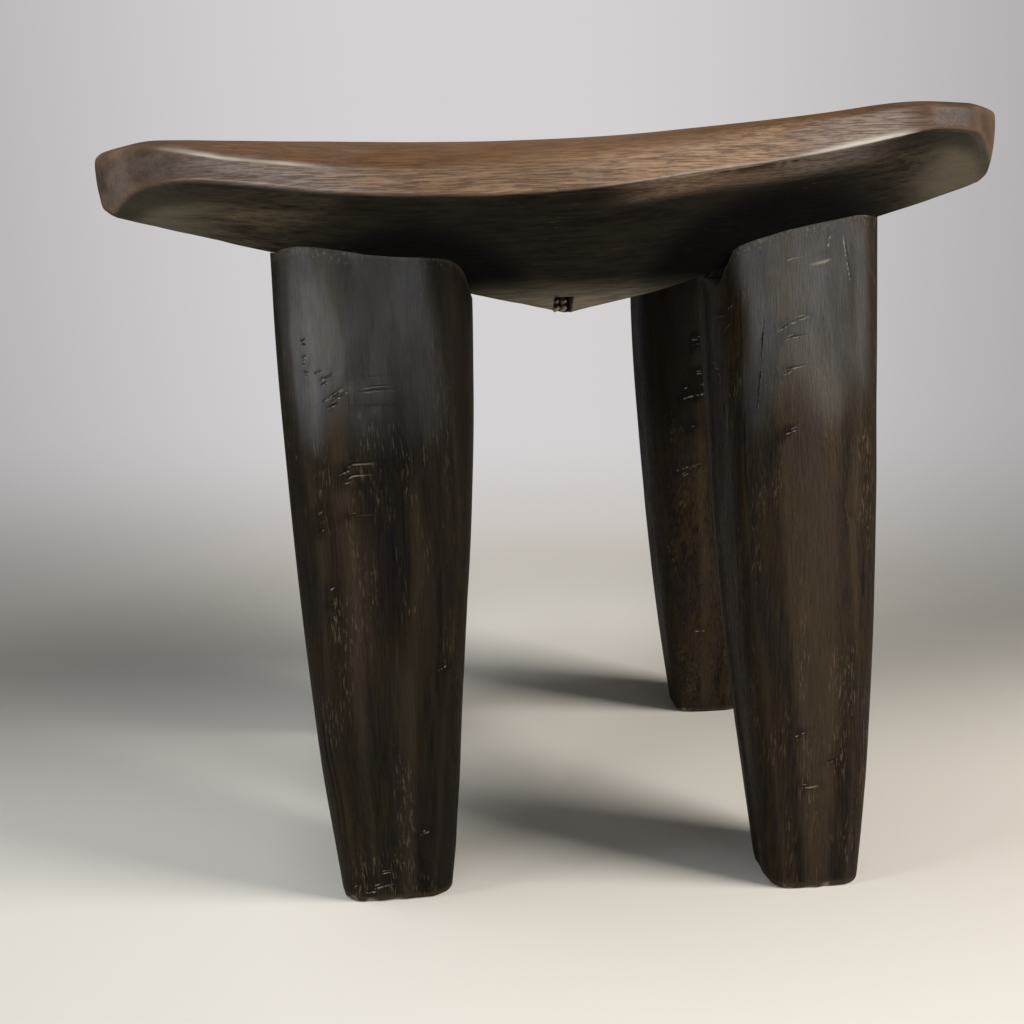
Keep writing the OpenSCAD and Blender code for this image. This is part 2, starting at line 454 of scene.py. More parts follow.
# %% [markdown]
# ## Tool marks on the seat
# The seat was shaped with an adze and then polished by years of use. The adze leaves shallow waves across
# each face, and the wood's grain stands a little proud along the length. Both are carved into the mesh
# here, always inwards, so that the seat stays inside its real size and keeps clear of the legs. The same
# step marks where the seat is handled, where painted light pales the keel and where painted shade darkens
# the underside, as values on the points that the paint reads later.

# %% Carve waves and grain into the seat
LEGS = ("leg_front_left", "leg_front_right", "leg_back_left", "leg_back_right")
AT_END = 0.1 * MM
# How far towards the middle the painted shade round each leg is centred
SHADE_SHIFT = 21 * MM


def mesh_arrays(mesh):
    """The mesh's points and the outward direction at each."""
    points = np.empty(len(mesh.vertices) * 3)
    mesh.vertices.foreach_get("co", points)
    normals = np.empty(len(mesh.vertices) * 3)
    mesh.vertex_normals.foreach_get("vector", normals)
    return points.reshape(-1, 3), normals.reshape(-1, 3)


def move_points(mesh, points):
    mesh.vertices.foreach_set("co", points.ravel())
    mesh.update()


def store(mesh, name, values):
    """Keeps a value for each point, which the paint can read by its name."""
    if name not in mesh.attributes:
        mesh.attributes.new(name, "FLOAT", "POINT")
    mesh.attributes[name].data.foreach_set("value", values.astype(np.float32))


def read(mesh, name):
    values = np.empty(len(mesh.vertices))
    mesh.attributes[name].data.foreach_get("value", values)
    return values


def leg_end(node, end):
    """The box round the lowest points of the frame's leg, or with end 1 round its highest ones."""
    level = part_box(node)[end].z
    corners = [v.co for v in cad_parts[node].data.vertices if abs(v.co.z - level) < AT_END]
    return Vector(map(min, *corners)), Vector(map(max, *corners))


def tenon_place(node):
    """The middle of a tenon's end."""
    low, high = leg_end(node, 1)
    return (low + high) / 2


def from_outline(points):
    """How far inside the seat's outline each point lies."""
    over = np.abs(points[:, :2]) - (np.array((HALF_L, HALF_W)) - CORNER_R)
    return CORNER_R - np.linalg.norm(np.maximum(over, 0), axis=1) - np.minimum(over.max(axis=1), 0)


def mark_edge(points, normals):
    """Where hands reach, down to the lower bevel, and a pale line along the arris: worn paler in the
    middle, a painted highlight at the right.
    """
    x = points[:, 0] / MM
    ring = np.arange(len(points)) // len(outline)
    arris = ROLL_STEPS + FACE_STEPS - 1
    edge = ring < len(rings)
    reached = np.where(edge, 1 - ease(ring, arris - 1, arris + 2), normals[:, 2] > 0)
    brow = span(x, 10, 50, 110, 150) * (1 - ease(from_outline(points) / MM, 6, 12.5))
    store(seat.data, "handled", np.maximum(reached, 0.5 * brow))
    # A painted highlight along the arris, broad and strong at the right, and worn paler in the middle
    bright = ease(x, 95, 120)
    line = np.where(edge, hump(ring, arris, 0.9 + 1.3 * bright), 0)
    line *= 0.5 * ease(x, -10, 60) + 0.5 * bright
    store(seat.data, "arris", line * (1 - ease(x, 140, 154)))


def mark_painted_light_and_shade(points):
    """Painted light on the keel, and painted shade where light hardly reaches: round the legs, the front
    slope, the rim.
    """
    x, y, z = np.abs(points.T) / MM
    places = [tenon_place(node).xy for node in LEGS]
    inwards = [place - Vector((math.copysign(SHADE_SHIFT, place.x), 0)) for place in places]
    # Painted light: the low keel, nearest the bright floor, is painted paler
    keel_light = 1 - ease(z, 291, 308)
    store(seat.data, "keel_light", keel_light)
    # Painted shade: the underside is darkened round the legs, on the front slope and along the rim
    slope = ease(y, 60, 85) * span(points[:, 0] / MM, -130, -90, 110, 150)
    dark = np.maximum(1 - ease(nearest(points, inwards), 50, 98), 0.8 * slope) * (1 - keel_light)
    rim = ease(x, 60, 110) * (1 - ease(from_outline(points) / MM, 6, 12))
    store(seat.data, "painted_shade", np.maximum(dark, 0.6 * rim))


def nearest(points, places):
    """Distance in mm, seen from above, to the nearest of some places."""
    return np.min([np.hypot(*(points[:, :2] - place).T) for place in places], axis=0) / MM


# Waves, flats and fibres: size of each in mm, seed, depth on top in mm, and how much deeper underneath
SEAT_MARKS = (
    ((46, 30, 40), 11, 0.35, 0.35),
    ((17, 11, 11), 12, 0.16, 0.24),
    ((26, 2.6, 2.6), 13, 0.06, 0.14),
)


def carve_seat():
    points, normals = mesh_arrays(seat.data)
    under = ease(-normals[:, 2], 0.1, 0.6)
    depth = sum((top + more * under) * patchy(points, size, seed) for size, seed, top, more in SEAT_MARKS)
    near = nearest(points, [tenon_place(node).xy for node in LEGS])
    depth *= 1 - under * (1 - ease(near, 62, 80))
    x = points[:, 0] / MM
    above = (points[:, 2] - underside(points[:, 0], points[:, 1])) / MM
    bevel_h = np.interp(x, EDGE_SHAPES[:, 0], EDGE_SHAPES[:, 4])
    arris = hump(above, bevel_h, 1.1) * (1 - under**2) * span(x, -90, -30, 130, 170)
    chips = ease(wander(points, (1.9, 9, 9), 14) + 0.5 * wander(points, 11, 15), 0.2, 0.8)
    store(seat.data, "bare", arris * ease(chips, 0.05, 0.5))
    mark_painted_light_and_shade(points)
    mark_edge(points, normals)
    depth += 0.5 * arris * chips
    move_points(seat.data, points - normals * depth[:, None] * MM)
    return depth


print("Deepest mark on the seat in mm:", round(float(carve_seat().max()), 2))

# %% [markdown]
# ## Mortises and the notch
# Each leg's round tenon sits in a blind round mortise, and a square notch at the front end of the keel
# holds the broken peg. They are cut with boolean modifiers from simple cutters, because a cut needs true
# edges. The tenons' places and lengths come from the frame's own legs.

# %% Cut the mortises and the notch
TENON_GAP = 0.15 * MM
TENON_END_GAP = 0.02 * MM
TENON_R = 26 * MM
MORTISE_CUT = 90 * MM
MORTISE_SIDES = 96
peg_lo, peg_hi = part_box("apex_peg")
NOTCH_GAP = 0.25 * MM
NOTCH_CUT = 40 * MM
NOTCH_FRONT = 6 * MM


def cut(piece, cutter):
    """Takes the cutter out of the piece and leaves a plain mesh."""
    change = piece.modifiers.new("cut", "BOOLEAN")
    change.object = cutter
    change.operation = "DIFFERENCE"
    change.solver = "MANIFOLD"
    graph = bpy.context.evaluated_depsgraph_get()
    made = bpy.data.meshes.new_from_object(piece.evaluated_get(graph))
    piece.modifiers.clear()
    old = piece.data
    name = old.name
    piece.data = made
    bpy.data.meshes.remove(old)
    made.name = name
    bpy.data.objects.remove(cutter)


def seat_cutter():
    """Four cylinders for the mortises and a block for the notch."""
    made = bmesh.new()
    for node in LEGS:
        place = tenon_place(node)
        top = place.z + TENON_END_GAP
        radius = TENON_R + TENON_GAP
        matrix = Matrix.Translation((place.x, place.y, top - MORTISE_CUT / 2))
        bmesh.ops.create_cone(
            made,
            cap_ends=True,
            segments=MORTISE_SIDES,
            radius1=radius,
            radius2=radius,
            depth=MORTISE_CUT,
            matrix=matrix,
        )
    roof = peg_hi.z + NOTCH_GAP
    front = -HALF_W + NOTCH_FRONT
    back = peg_hi.y + NOTCH_GAP
    middle = Vector(((peg_lo.x + peg_hi.x) / 2, (front + back) / 2, roof - NOTCH_CUT / 2))
    size = (peg_hi.x - peg_lo.x + 2 * NOTCH_GAP, back - front, NOTCH_CUT, 1)
    bmesh.ops.create_cube(made, size=1, matrix=Matrix.Translation(middle) @ Matrix.Diagonal(size))
    mesh = bpy.data.meshes.new("cutter")
    made.to_mesh(mesh)
    made.free()
    cutter = bpy.data.objects.new("cutter", mesh)
    bpy.context.collection.objects.link(cutter)
    return cutter


cut(seat, seat_cutter())
print("Seat triangles after the cuts:", sum(len(p.vertices) - 2 for p in seat.data.polygons))

# %% [markdown]
# ## The legs' blanks, grown by a node tree
# A leg follows a rule: it swells from the foot towards the top along one curve, its outline is squarer at
# one end than at the other, and its middle leans in a straight line. Geometry Nodes suit a rule like
# that, because the same tree grows all four legs from named sizes. The tree also keeps each point's place
# round and along the leg, which the carving uses later. A node's output is wrapped as a signal here, so
# that a formula in a tree can be written like a sum of numbers.

# %% Helpers for building node trees


class Signal:
    """One output of a node. Sums and products of signals and numbers add the nodes that work them out."""

    def __init__(self, socket):
        self.socket = socket
        self.tree = socket.id_data

    def __add__(self, other):
        return calc("ADD", self, other)

    def __radd__(self, other):
        return calc("ADD", other, self)

    def __sub__(self, other):
        return calc("SUBTRACT", self, other)

    def __rsub__(self, other):
        return calc("SUBTRACT", other, self)

    def __mul__(self, other):
        return calc("MULTIPLY", self, other)

    def __rmul__(self, other):
        return calc("MULTIPLY", other, self)

    def __truediv__(self, other):
        return calc("DIVIDE", self, other)

    def __rtruediv__(self, other):
        return calc("DIVIDE", other, self)

    def __pow__(self, other):
        return calc("POWER", self, other)

    def __abs__(self):
        return calc("ABSOLUTE", self)


def fill(node, inputs):
    """Links or sets a node's inputs."""
    for key, value in inputs.items():
        if isinstance(value, Signal):
            value.tree.links.new(value.socket, node.inputs[key])
        else:
            node.inputs[key].default_value = value


def add_node(tree, kind, inputs=None, **settings):
    """Adds a node, sets its options, and fills its inputs."""
    node = tree.nodes.new(kind)
    for name, value in settings.items():
        setattr(node, name, value)
    fill(node, inputs or {})
    return node


def signal(kind, inputs, out=0, tree=None, **settings):
    """One output of a new node, in the tree that its inputs come from."""
    if tree is None:
        tree = next(value.tree for value in inputs.values() if isinstance(value, Signal))
    return Signal(add_node(tree, kind, inputs, **settings).outputs[out])


def calc(operation, *values, clamp=False):
    return signal("ShaderNodeMath", dict(enumerate(values)), operation=operation, use_clamp=clamp)


def vector_calc(operation, a, b):
    key = "Scale" if operation == "SCALE" else 1
    return signal("ShaderNodeVectorMath", {0: a, key: b}, operation=operation)


def split(vector):
    return [Signal(out) for out in add_node(vector.tree, "ShaderNodeSeparateXYZ", {0: vector}).outputs]


def combine(x, y, z):
    return signal("ShaderNodeCombineXYZ", {0: x, 1: y, 2: z})


def between(start, end, share):
    return start + (end - start) * share


def vector_between(start, end, share):
    return vector_calc("ADD", start, vector_calc("SCALE", vector_calc("SUBTRACT", end, start), share))


def new_tree(name, kind, inputs, outputs):
    """A node group with named inputs and outputs: the tree, its inputs as signals, and its output node."""
    tree = bpy.data.node_groups.new(name, kind)
    for label, socket, default in inputs:
        made = tree.interface.new_socket(name=label, in_out="INPUT", socket_type="NodeSocket" + socket)
        if default is not None:
            made.default_value = default
    for label, socket in outputs:
        tree.interface.new_socket(name=label, in_out="OUTPUT", socket_type="NodeSocket" + socket)
    start = tree.nodes.new("NodeGroupInput")
    given = {socket.name: Signal(socket) for socket in start.outputs if socket.name}
    return tree, given, tree.nodes.new("NodeGroupOutput")


def dressed(geometry, material):
    """The end of each piece's tree: real geometry, with its material."""
    whole = signal("GeometryNodeRealizeInstances", {"Geometry": geometry})
    return signal("GeometryNodeSetMaterial", {"Geometry": whole, "Material": material})


# %% Build the leg tree


def squared(way, power, width):
    """One axis of a rounded square: a circle's axis raised to a power, with its sign kept."""
    return calc("SIGN", way) * abs(way) ** power * (width * 0.5)


def leg_tree():
    tree, given, made = new_tree(
        "tapered_leg",
        "GeometryNodeTree",
        [
            ("Sides", "Int", 240),
            ("Rings", "Int", 120),
            ("Height", "Float", 0.3),
            ("Shoulder Height", "Float", 0.3),
            ("Foot Place", "Vector", None),
            ("Top Place", "Vector", None),
            ("Foot Size", "Vector", None),
            ("Top Size", "Vector", None),
            ("Belly", "Float", 1.75),
            ("Foot Squareness", "Float", 4.2),
            ("Top Squareness", "Float", 2.4),
            ("Material", "Material", None),
        ],
        [("Geometry", "Geometry")],
    )
    mesh = signal(
        "GeometryNodeMeshCylinder",
        {"Vertices": given["Sides"], "Side Segments": given["Rings"], "Radius": 1.0, "Depth": 1.0},
        fill_type="NGON",
    )
    x, y, z = split(signal("GeometryNodeInputPosition", {}, tree=tree))
    along = z + 0.5
    height = along * given["Height"]
    lift = height / given["Shoulder Height"]
    rise = calc("MINIMUM", lift, 1.0)
    swell = 1.0 - (1.0 - rise) ** given["Belly"]
    power = 2.0 / between(given["Foot Squareness"], given["Top Squareness"], rise)
    wide, deep, _ = split(vector_between(given["Foot Size"], given["Top Size"], swell))
    middle = vector_between(given["Foot Place"], given["Top Place"], lift)
    spot = vector_calc("ADD", middle, combine(squared(x, power, wide), squared(y, power, deep), height))
    for label, value in (("along", along), ("around", calc("ARCTAN2", y, x))):
        inputs = {"Geometry": mesh, "Name": label, "Value": value}
        mesh = signal("GeometryNodeStoreNamedAttribute", inputs, data_type="FLOAT", domain="POINT")
    moved = signal("GeometryNodeSetPosition", {"Geometry": mesh, "Position": spot})
    fill(made, {0: dressed(moved, given["Material"])})
    return tree


def grow(name, tree, values):
    """Runs a node tree with the given inputs and returns the result as a plain object."""
    mesh = bpy.data.meshes.new(name)
    piece = bpy.data.objects.new(name, mesh)
    bpy.context.collection.objects.link(piece)
    change = piece.modifiers.new("grow", "NODES")
    change.node_group = tree
    for item in tree.interface.items_tree:
        if item.item_type == "SOCKET" and item.in_out == "INPUT" and item.name in values:
            change[item.identifier] = values[item.name]
    graph = bpy.context.evaluated_depsgraph_get()
    made = bpy.data.meshes.new_from_object(piece.evaluated_get(graph))
    piece.modifiers.clear()
    piece.data = made
    bpy.data.meshes.remove(mesh)
    return piece


tapered_leg = leg_tree()
print("Nodes in the leg tree:", len(tapered_leg.nodes))

# %% [markdown]
# ## Materials before the pieces
# A node tree has to name its material, so the three woods are made empty here and painted further down.

# %% Empty materials
woods = {name: bpy.data.materials.new(name) for name in ("seat_wood", "leg_wood", "peg_wood")}
for wood in woods.values():
    wood.use_nodes = True
print("Woods:", ", ".join(woods))

# %% [markdown]
# ## Fitting each leg under the seat
# The blank is cut to the underside as a joiner would scribe it: every column of points runs up to the
# underside less a hair's gap. Then come the shoulder, which follows the underside inwards, and the tenon.
# The foot gets a worn bevel. Sizes at the foot and the tenon's place are read from the frame's own leg.

# %% Sizes of the four legs
SIDES = 224
BLANK_RINGS = 160
BLANK_SPARE = 45 * MM
SWELL_STOP = 13 * MM
WALL_ROWS = 300
SHOULDER_ROWS = 7
TENON_ROWS = 8
SHOULDER_GAP = 0.12 * MM
SEAT_GAP = 0.04 * MM
SCRIBE_ROUNDS = 12

# Width and depth of each leg's top in mm, and how square it is there, where 2 is an ellipse
TOPS = {
    "leg_front_left": (96, 97, 5),
    "leg_front_right": (91, 89, 4.2),
    "leg_back_left": (92, 88, 3),
    "leg_back_right": (86, 88, 2.8),
}
FOOT_SPARE = 0.8 * MM
TOP_SPARE = 1.2 * MM
FOOT_ROUND = 1.4 * MM
FOOT_WORN = 1 * MM


def foot_of(node):
    """The middle and the size of a leg's foot, before wear rounded its edge."""
    low, high = leg_end(node, 0)
    return (low + high) / 2, high - low + Vector((2, 2, 0)) * FOOT_WORN


def leg_blank(node):
    """The blank's points as rings by sides by xyz."""
    foot, foot_size = foot_of(node)
    tenon = tenon_place(node)
    wide, deep, square = TOPS[node]
    level = underside(np.array([tenon_place("leg_front_left").x]), np.array([0.0]))
    blank = grow(
        node + "_blank",
        tapered_leg,
        {
            "Sides": SIDES,
            "Rings": BLANK_RINGS,
            "Height": KEEL_Z + BLANK_SPARE,
            "Shoulder Height": float(level[0]) - SWELL_STOP,
            "Foot Place": foot,
            "Top Place": Vector((tenon.x, tenon.y, 0)),
            "Foot Size": foot_size + Vector((1, 1, 0)) * FOOT_SPARE,
            "Top Size": Vector((wide * MM, deep * MM, 0)) + Vector((1, 1, 0)) * TOP_SPARE,
            "Top Squareness": square,
            "Material": woods["leg_wood"],
        },
    )
    points, _ = mesh_arrays(blank.data)
    along, around = (read(blank.data, label) for label in ("along", "around"))
    order = np.lexsort((np.round(around, 5), np.round(along * BLANK_RINGS)))
    bpy.data.objects.remove(blank)
    return points[order].reshape(BLANK_RINGS + 1, SIDES, 3)


def at_height(blank, z):
    """Points on the blank's columns at the given heights, an array of rows by sides."""
    step = blank[1, 0, 2] - blank[0, 0, 2]
    place = np.clip(z / step, 0, len(blank) - 1.001)
    low = place.astype(int)
    share = (place - low)[..., None]
    side = np.broadcast_to(np.arange(blank.shape[1]), z.shape)
    return blank[low, side] * (1 - share) + blank[low + 1, side] * share


def scribe(blank):
    """The height at which each column meets the underside."""
    z = np.full((1, blank.shape[1]), KEEL_Z)
    for _ in range(SCRIBE_ROUNDS):
        at = at_height(blank, z)
        z = underside(at[..., 0], at[..., 1]) - SHOULDER_GAP
    return z[0]


def row_shares():
    """Shares of the wall's height, closer together near the foot and near the top."""
    t = np.linspace(0, 1, 2000)
    density = 1 + 1.4 * np.exp(-t / 0.02) + 0.6 * np.exp(-(1 - t) / 0.04)
    total = np.cumsum(density)
    total = (total - total[0]) / (total[-1] - total[0])
    return np.interp(np.linspace(0, 1, WALL_ROWS), total, t)


print("Front left foot, mm:", [round(v / MM, 1) for v in foot_of("leg_front_left")[0]])

# %% [markdown]
# ## Carving a leg
# The adze worked up and down the leg and left ten or so long flats with soft ridges between them, crossed
# by shallow scoops. Drying opened fine cracks along the grain, and knocks took small chips off the top
# edge and the foot. Each of these is a depth that is taken off the blank, and all depths are added before
# the points move, so that the order doesn't matter.

# %% Depths that the carver's tools leave
CRACKS = 22
CHIPS = 34

# Where the long flats of each leg meet, in degrees round the leg
FLAT_EDGES = {
    "leg_front_left": (8, 42, 80, 118, 156, 192, 233, 256, 284, 312, 338),
    "leg_front_right": (18, 55, 92, 128, 160, 186, 227, 262, 297, 330),
    "leg_back_left": (12, 50, 84, 120, 152, 190, 225, 262, 300, 335),
    "leg_back_right": (25, 60, 96, 130, 168, 200, 222, 258, 290, 325),
}

# Hollows in each leg's side, as (angle round the leg, height, depth, spread round, spread up), in degrees
# and mm
HOLLOWS = {
    "leg_front_left": [
        (0, 118, 2.4, 42, 62), (20, 20, -0.6, 50, 14), (284, 300, 5.0, 30, 110), (318, 300, 2.2, 20, 150),
        (180, 225, 2.4, 36, 70), (186, 315, 1.8, 40, 60),
    ],
    "leg_front_right": [
        (185, 55, 1.2, 40, 45), (205, 215, 0.5, 18, 60), (332, 240, 7, 42, 160), (266, 305, 6.5, 42, 60),
        (172, 290, 8.5, 50, 180), (231, 310, 4.5, 22, 140),
    ],
    "leg_back_left": [(120, 150, 1.6, 40, 70)],
    "leg_back_right": [(60, 110, 1.8, 40, 60)],
}

# Where the rounding of each leg's top edge is broader, as (angle round the leg, radius, spread round)
TOP_ROUNDS = {
    "leg_front_left": (350, 1.0, 30),
    "leg_front_right": (205, 6, 20),
    "leg_back_left": (150, 4, 30),
    "leg_back_right": (205, 5, 30),
}
TOP_ROUND = 0.9 * MM


def turn_gap(a, b):
    """How far two angles are apart, from -pi to pi."""
    return (a - b + math.pi) % (2 * math.pi) - math.pi


def turn_fall(around, degrees, spread):
    """1 at an angle round the leg, and a smooth fall to 0 on both sides, with both given in degrees."""
    return hump(turn_gap(around, math.radians(degrees)), 0, math.radians(spread))


def flats_depth(node, around, points, radius, rng):
    """Long flats: each is a chord across the round leg, and they meet in soft ridges."""
    edges = np.radians(FLAT_EDGES[node])
    after = np.append(edges[1:], edges[0] + 2 * math.pi)
    half = (after - edges) / 2
    middles = (after + edges) / 2
    drift = math.radians(5) * wander(points * np.array([0, 0, 1]), 90, int(rng.integers(999)))
    gaps = np.abs(turn_gap(around[:, None] + drift[:, None], middles[None, :]))
    closest = (gaps - half[None, :]).argmin(axis=1)
    gap = gaps[np.arange(len(around)), closest]
    strength = rng.uniform(0.6, 1, len(half))[closest]
    fade = 0.7 + 0.3 * wander(points, 70, int(rng.integers(999)))
    depth = 1 - np.cos(half[closest]) / np.cos(np.minimum(gap, half[closest]))
    return radius * depth * strength * fade


def crack_depth(around, height, top, radius, rng):
    """Thin cracks that run up the grain."""
    depth = np.zeros(len(around))
    for _ in range(CRACKS):
        turn = rng.uniform(-math.pi, math.pi)
        low = rng.uniform(0, 0.9) * top
        length = rng.uniform(14, 70) * MM
        bend = 0.6 * MM * np.sin(height / (9 * MM) + rng.uniform(0, 6))
        side = np.abs(turn_gap(around, turn) * radius + bend)
        run = np.clip(1 - np.abs((height - low) / length * 2 - 1), 0, 1) ** 0.5
        depth += rng.uniform(0.25, 0.6) * MM * np.clip(1 - side / (0.9 * MM), 0, 1) * run
    return depth


def chip_depth(around, below_top, height, radius, rng):
    """Small chips off the top edge and off the foot's rim."""
    depth = np.zeros(len(around))
    for turn in rng.uniform(-math.pi, math.pi, CHIPS):
        wide = rng.uniform(1.2, 4) * MM
        tall = rng.uniform(0.8, 4.2) * MM
        edge = below_top if rng.random() < 0.62 else height
        fall = (turn_gap(around, turn) * radius / wide) ** 2 + (edge / tall) ** 2
        depth += rng.uniform(0.4, 1.1) * MM * np.clip(1 - fall, 0, 1)
    return depth


def round_off(distance, radius):
    """How far a rounded edge has drawn in at a distance from the edge."""
    part = np.clip(1 - distance / radius, 0, 1)
    return radius * (1 - np.sqrt(1 - part**2))


def leg_depth(node, around, height, below_top, points, radius):
    """How deep each point is cut, and how bare the wood is there."""
    rng = np.random.default_rng(LEGS.index(node) + 40)
    calm = 0.3 + 0.4 * ease(below_top, 10 * MM, 150 * MM)
    depth = flats_depth(node, around, points, radius, rng) * calm
    for size, deep in (((14, 14, 34), 0.3), ((3.4, 3.4, 30), 0.16)):
        depth += deep * MM * patchy(points, size, int(rng.integers(999)))
    depth += crack_depth(around, height, below_top.max(), radius, rng)
    chips = chip_depth(around, below_top, height, radius, rng)
    depth += chips
    for turn, up_to, deep, wide, tall in HOLLOWS[node]:
        depth += deep * MM * turn_fall(around, turn, wide) * hump(height, up_to * MM, tall * MM)
    turn, reach, wide = TOP_ROUNDS[node]
    depth += round_off(below_top, TOP_ROUND + reach * MM * turn_fall(around, turn, wide))
    depth += round_off(height, FOOT_ROUND) * FOOT_WORN / FOOT_ROUND
    bare = ease(chips, 0.1 * MM, 0.5 * MM) * patchy(points, 2.2, 5)
    return np.maximum(depth, 0), bare


print("Flats on each leg:", [len(edges) for edges in FLAT_EDGES.values()])

# %% Make one leg's mesh
INNER_RINGS = (0.25, 0.6)


def leg_wall(node):
    """The carved wall from the foot up to the seat, as rows by sides by xyz, and how bare each point is."""
    blank = leg_blank(node)
    top = scribe(blank)
    z = row_shares()[:, None] * top[None, :]
    wall = at_height(blank, z)
    tangent = np.roll(wall, -1, axis=1) - np.roll(wall, 1, axis=1)
    out = np.stack([tangent[..., 1], -tangent[..., 0]], axis=-1)
    out /= np.linalg.norm(out, axis=-1)[..., None]
    arm = wall[..., :2] - wall[..., :2].mean(axis=1, keepdims=True)
    around = np.arctan2(arm[..., 1], arm[..., 0])
    radius = np.linalg.norm(arm, axis=-1)
    below = top[None, :] - z
    flat = (around.ravel(), z.ravel(), below.ravel(), wall.reshape(-1, 3), radius.ravel())
    depth, bare = leg_depth(node, *flat)
    wall[..., :2] -= out * depth.reshape(z.shape)[..., None]
    wall[..., 2] = np.minimum(wall[..., 2], underside(wall[..., 0], wall[..., 1]) - SHOULDER_GAP)
    return wall, bare.reshape(z.shape)


def leg_points(node):
    """A leg's rings, from its foot over its shoulder up to its tenon, and how bare each point is."""
    wall, bare = leg_wall(node)
    foot_middle = wall[0].mean(axis=0)
    rows = [foot_middle + (wall[0] - foot_middle) * share for share in INNER_RINGS]
    rows.extend(wall)
    tenon = tenon_place(node)
    middle = np.array(tenon[:2])
    arm = wall[-1, :, :2] - middle
    angle = np.arctan2(arm[:, 1], arm[:, 0])
    ring = np.column_stack([tenon.x + TENON_R * np.cos(angle), tenon.y + TENON_R * np.sin(angle)])
    for share in np.linspace(0, 1, SHOULDER_ROWS + 1)[1:]:
        xy = wall[-1, :, :2] * (1 - share) + ring * share
        gap = SHOULDER_GAP + (SEAT_GAP - SHOULDER_GAP) * share
        rows.append(np.column_stack([xy, underside(xy[:, 0], xy[:, 1]) - gap]))
    base = rows[-1][:, 2]
    tip = tenon.z - TENON_END_GAP
    for share in np.linspace(0, 1, TENON_ROWS + 1)[1:]:
        rows.append(np.column_stack([ring, base + (tip - base) * share]))
    rows.append(np.column_stack([middle + (ring - middle) * INNER_RINGS[-1], np.full(SIDES, tip)]))
    spare = len(rows) - len(bare) - len(INNER_RINGS)
    return np.array(rows), np.pad(bare, ((len(INNER_RINGS), spare), (0, 0)))


def closed_rings(rows):
    """Joins rings of points with triangles and closes both ends at a middle point."""
    count = rows.shape[1]
    side = np.arange(count)
    after = np.roll(side, -1)
    faces = []
    for i in range(len(rows) - 1):
        a = i * count + side
        b = i * count + after
        faces.append(np.column_stack([a, b, b + count]))
        faces.append(np.column_stack([a, b + count, a + count]))
    points = np.concatenate([rows.reshape(-1, 3), rows[:1].mean(axis=1), rows[-1:].mean(axis=1)])
    low = len(points) - 2
    last = (len(rows) - 1) * count
    faces.append(np.column_stack([after, side, np.full(count, low)]))
    faces.append(np.column_stack([last + side, last + after, np.full(count, low + 1)]))
    return points, np.concatenate(faces)


legs = {}
for node in LEGS:
    rows, bare = leg_points(node)
    legs[node] = to_object(node.replace("leg", "carved_leg"), *closed_rings(rows))
    store(legs[node].data, "bare", np.append(bare, (0, 0)))
    print(legs[node].name, len(legs[node].data.polygons), "triangles")

# %% [markdown]
# ## Knife nicks
# Short slanting cuts show where a blade or a hard edge struck the finished legs. Each one is written as a
# stroke in the picture, from one end to the other, and a line of sight carries its ends onto the leg. The
# mesh is made finer along the stroke, then pressed in to a V with a small raised lip. The lower side of
# the lip is marked as bare wood with a painted highlight, and the V, a little above its middle, as a
# groove of painted shade.

# %% Press the nicks into the legs
NICK_REACH = 2.6 * MM
LIP_LIMIT = 0.1 * MM

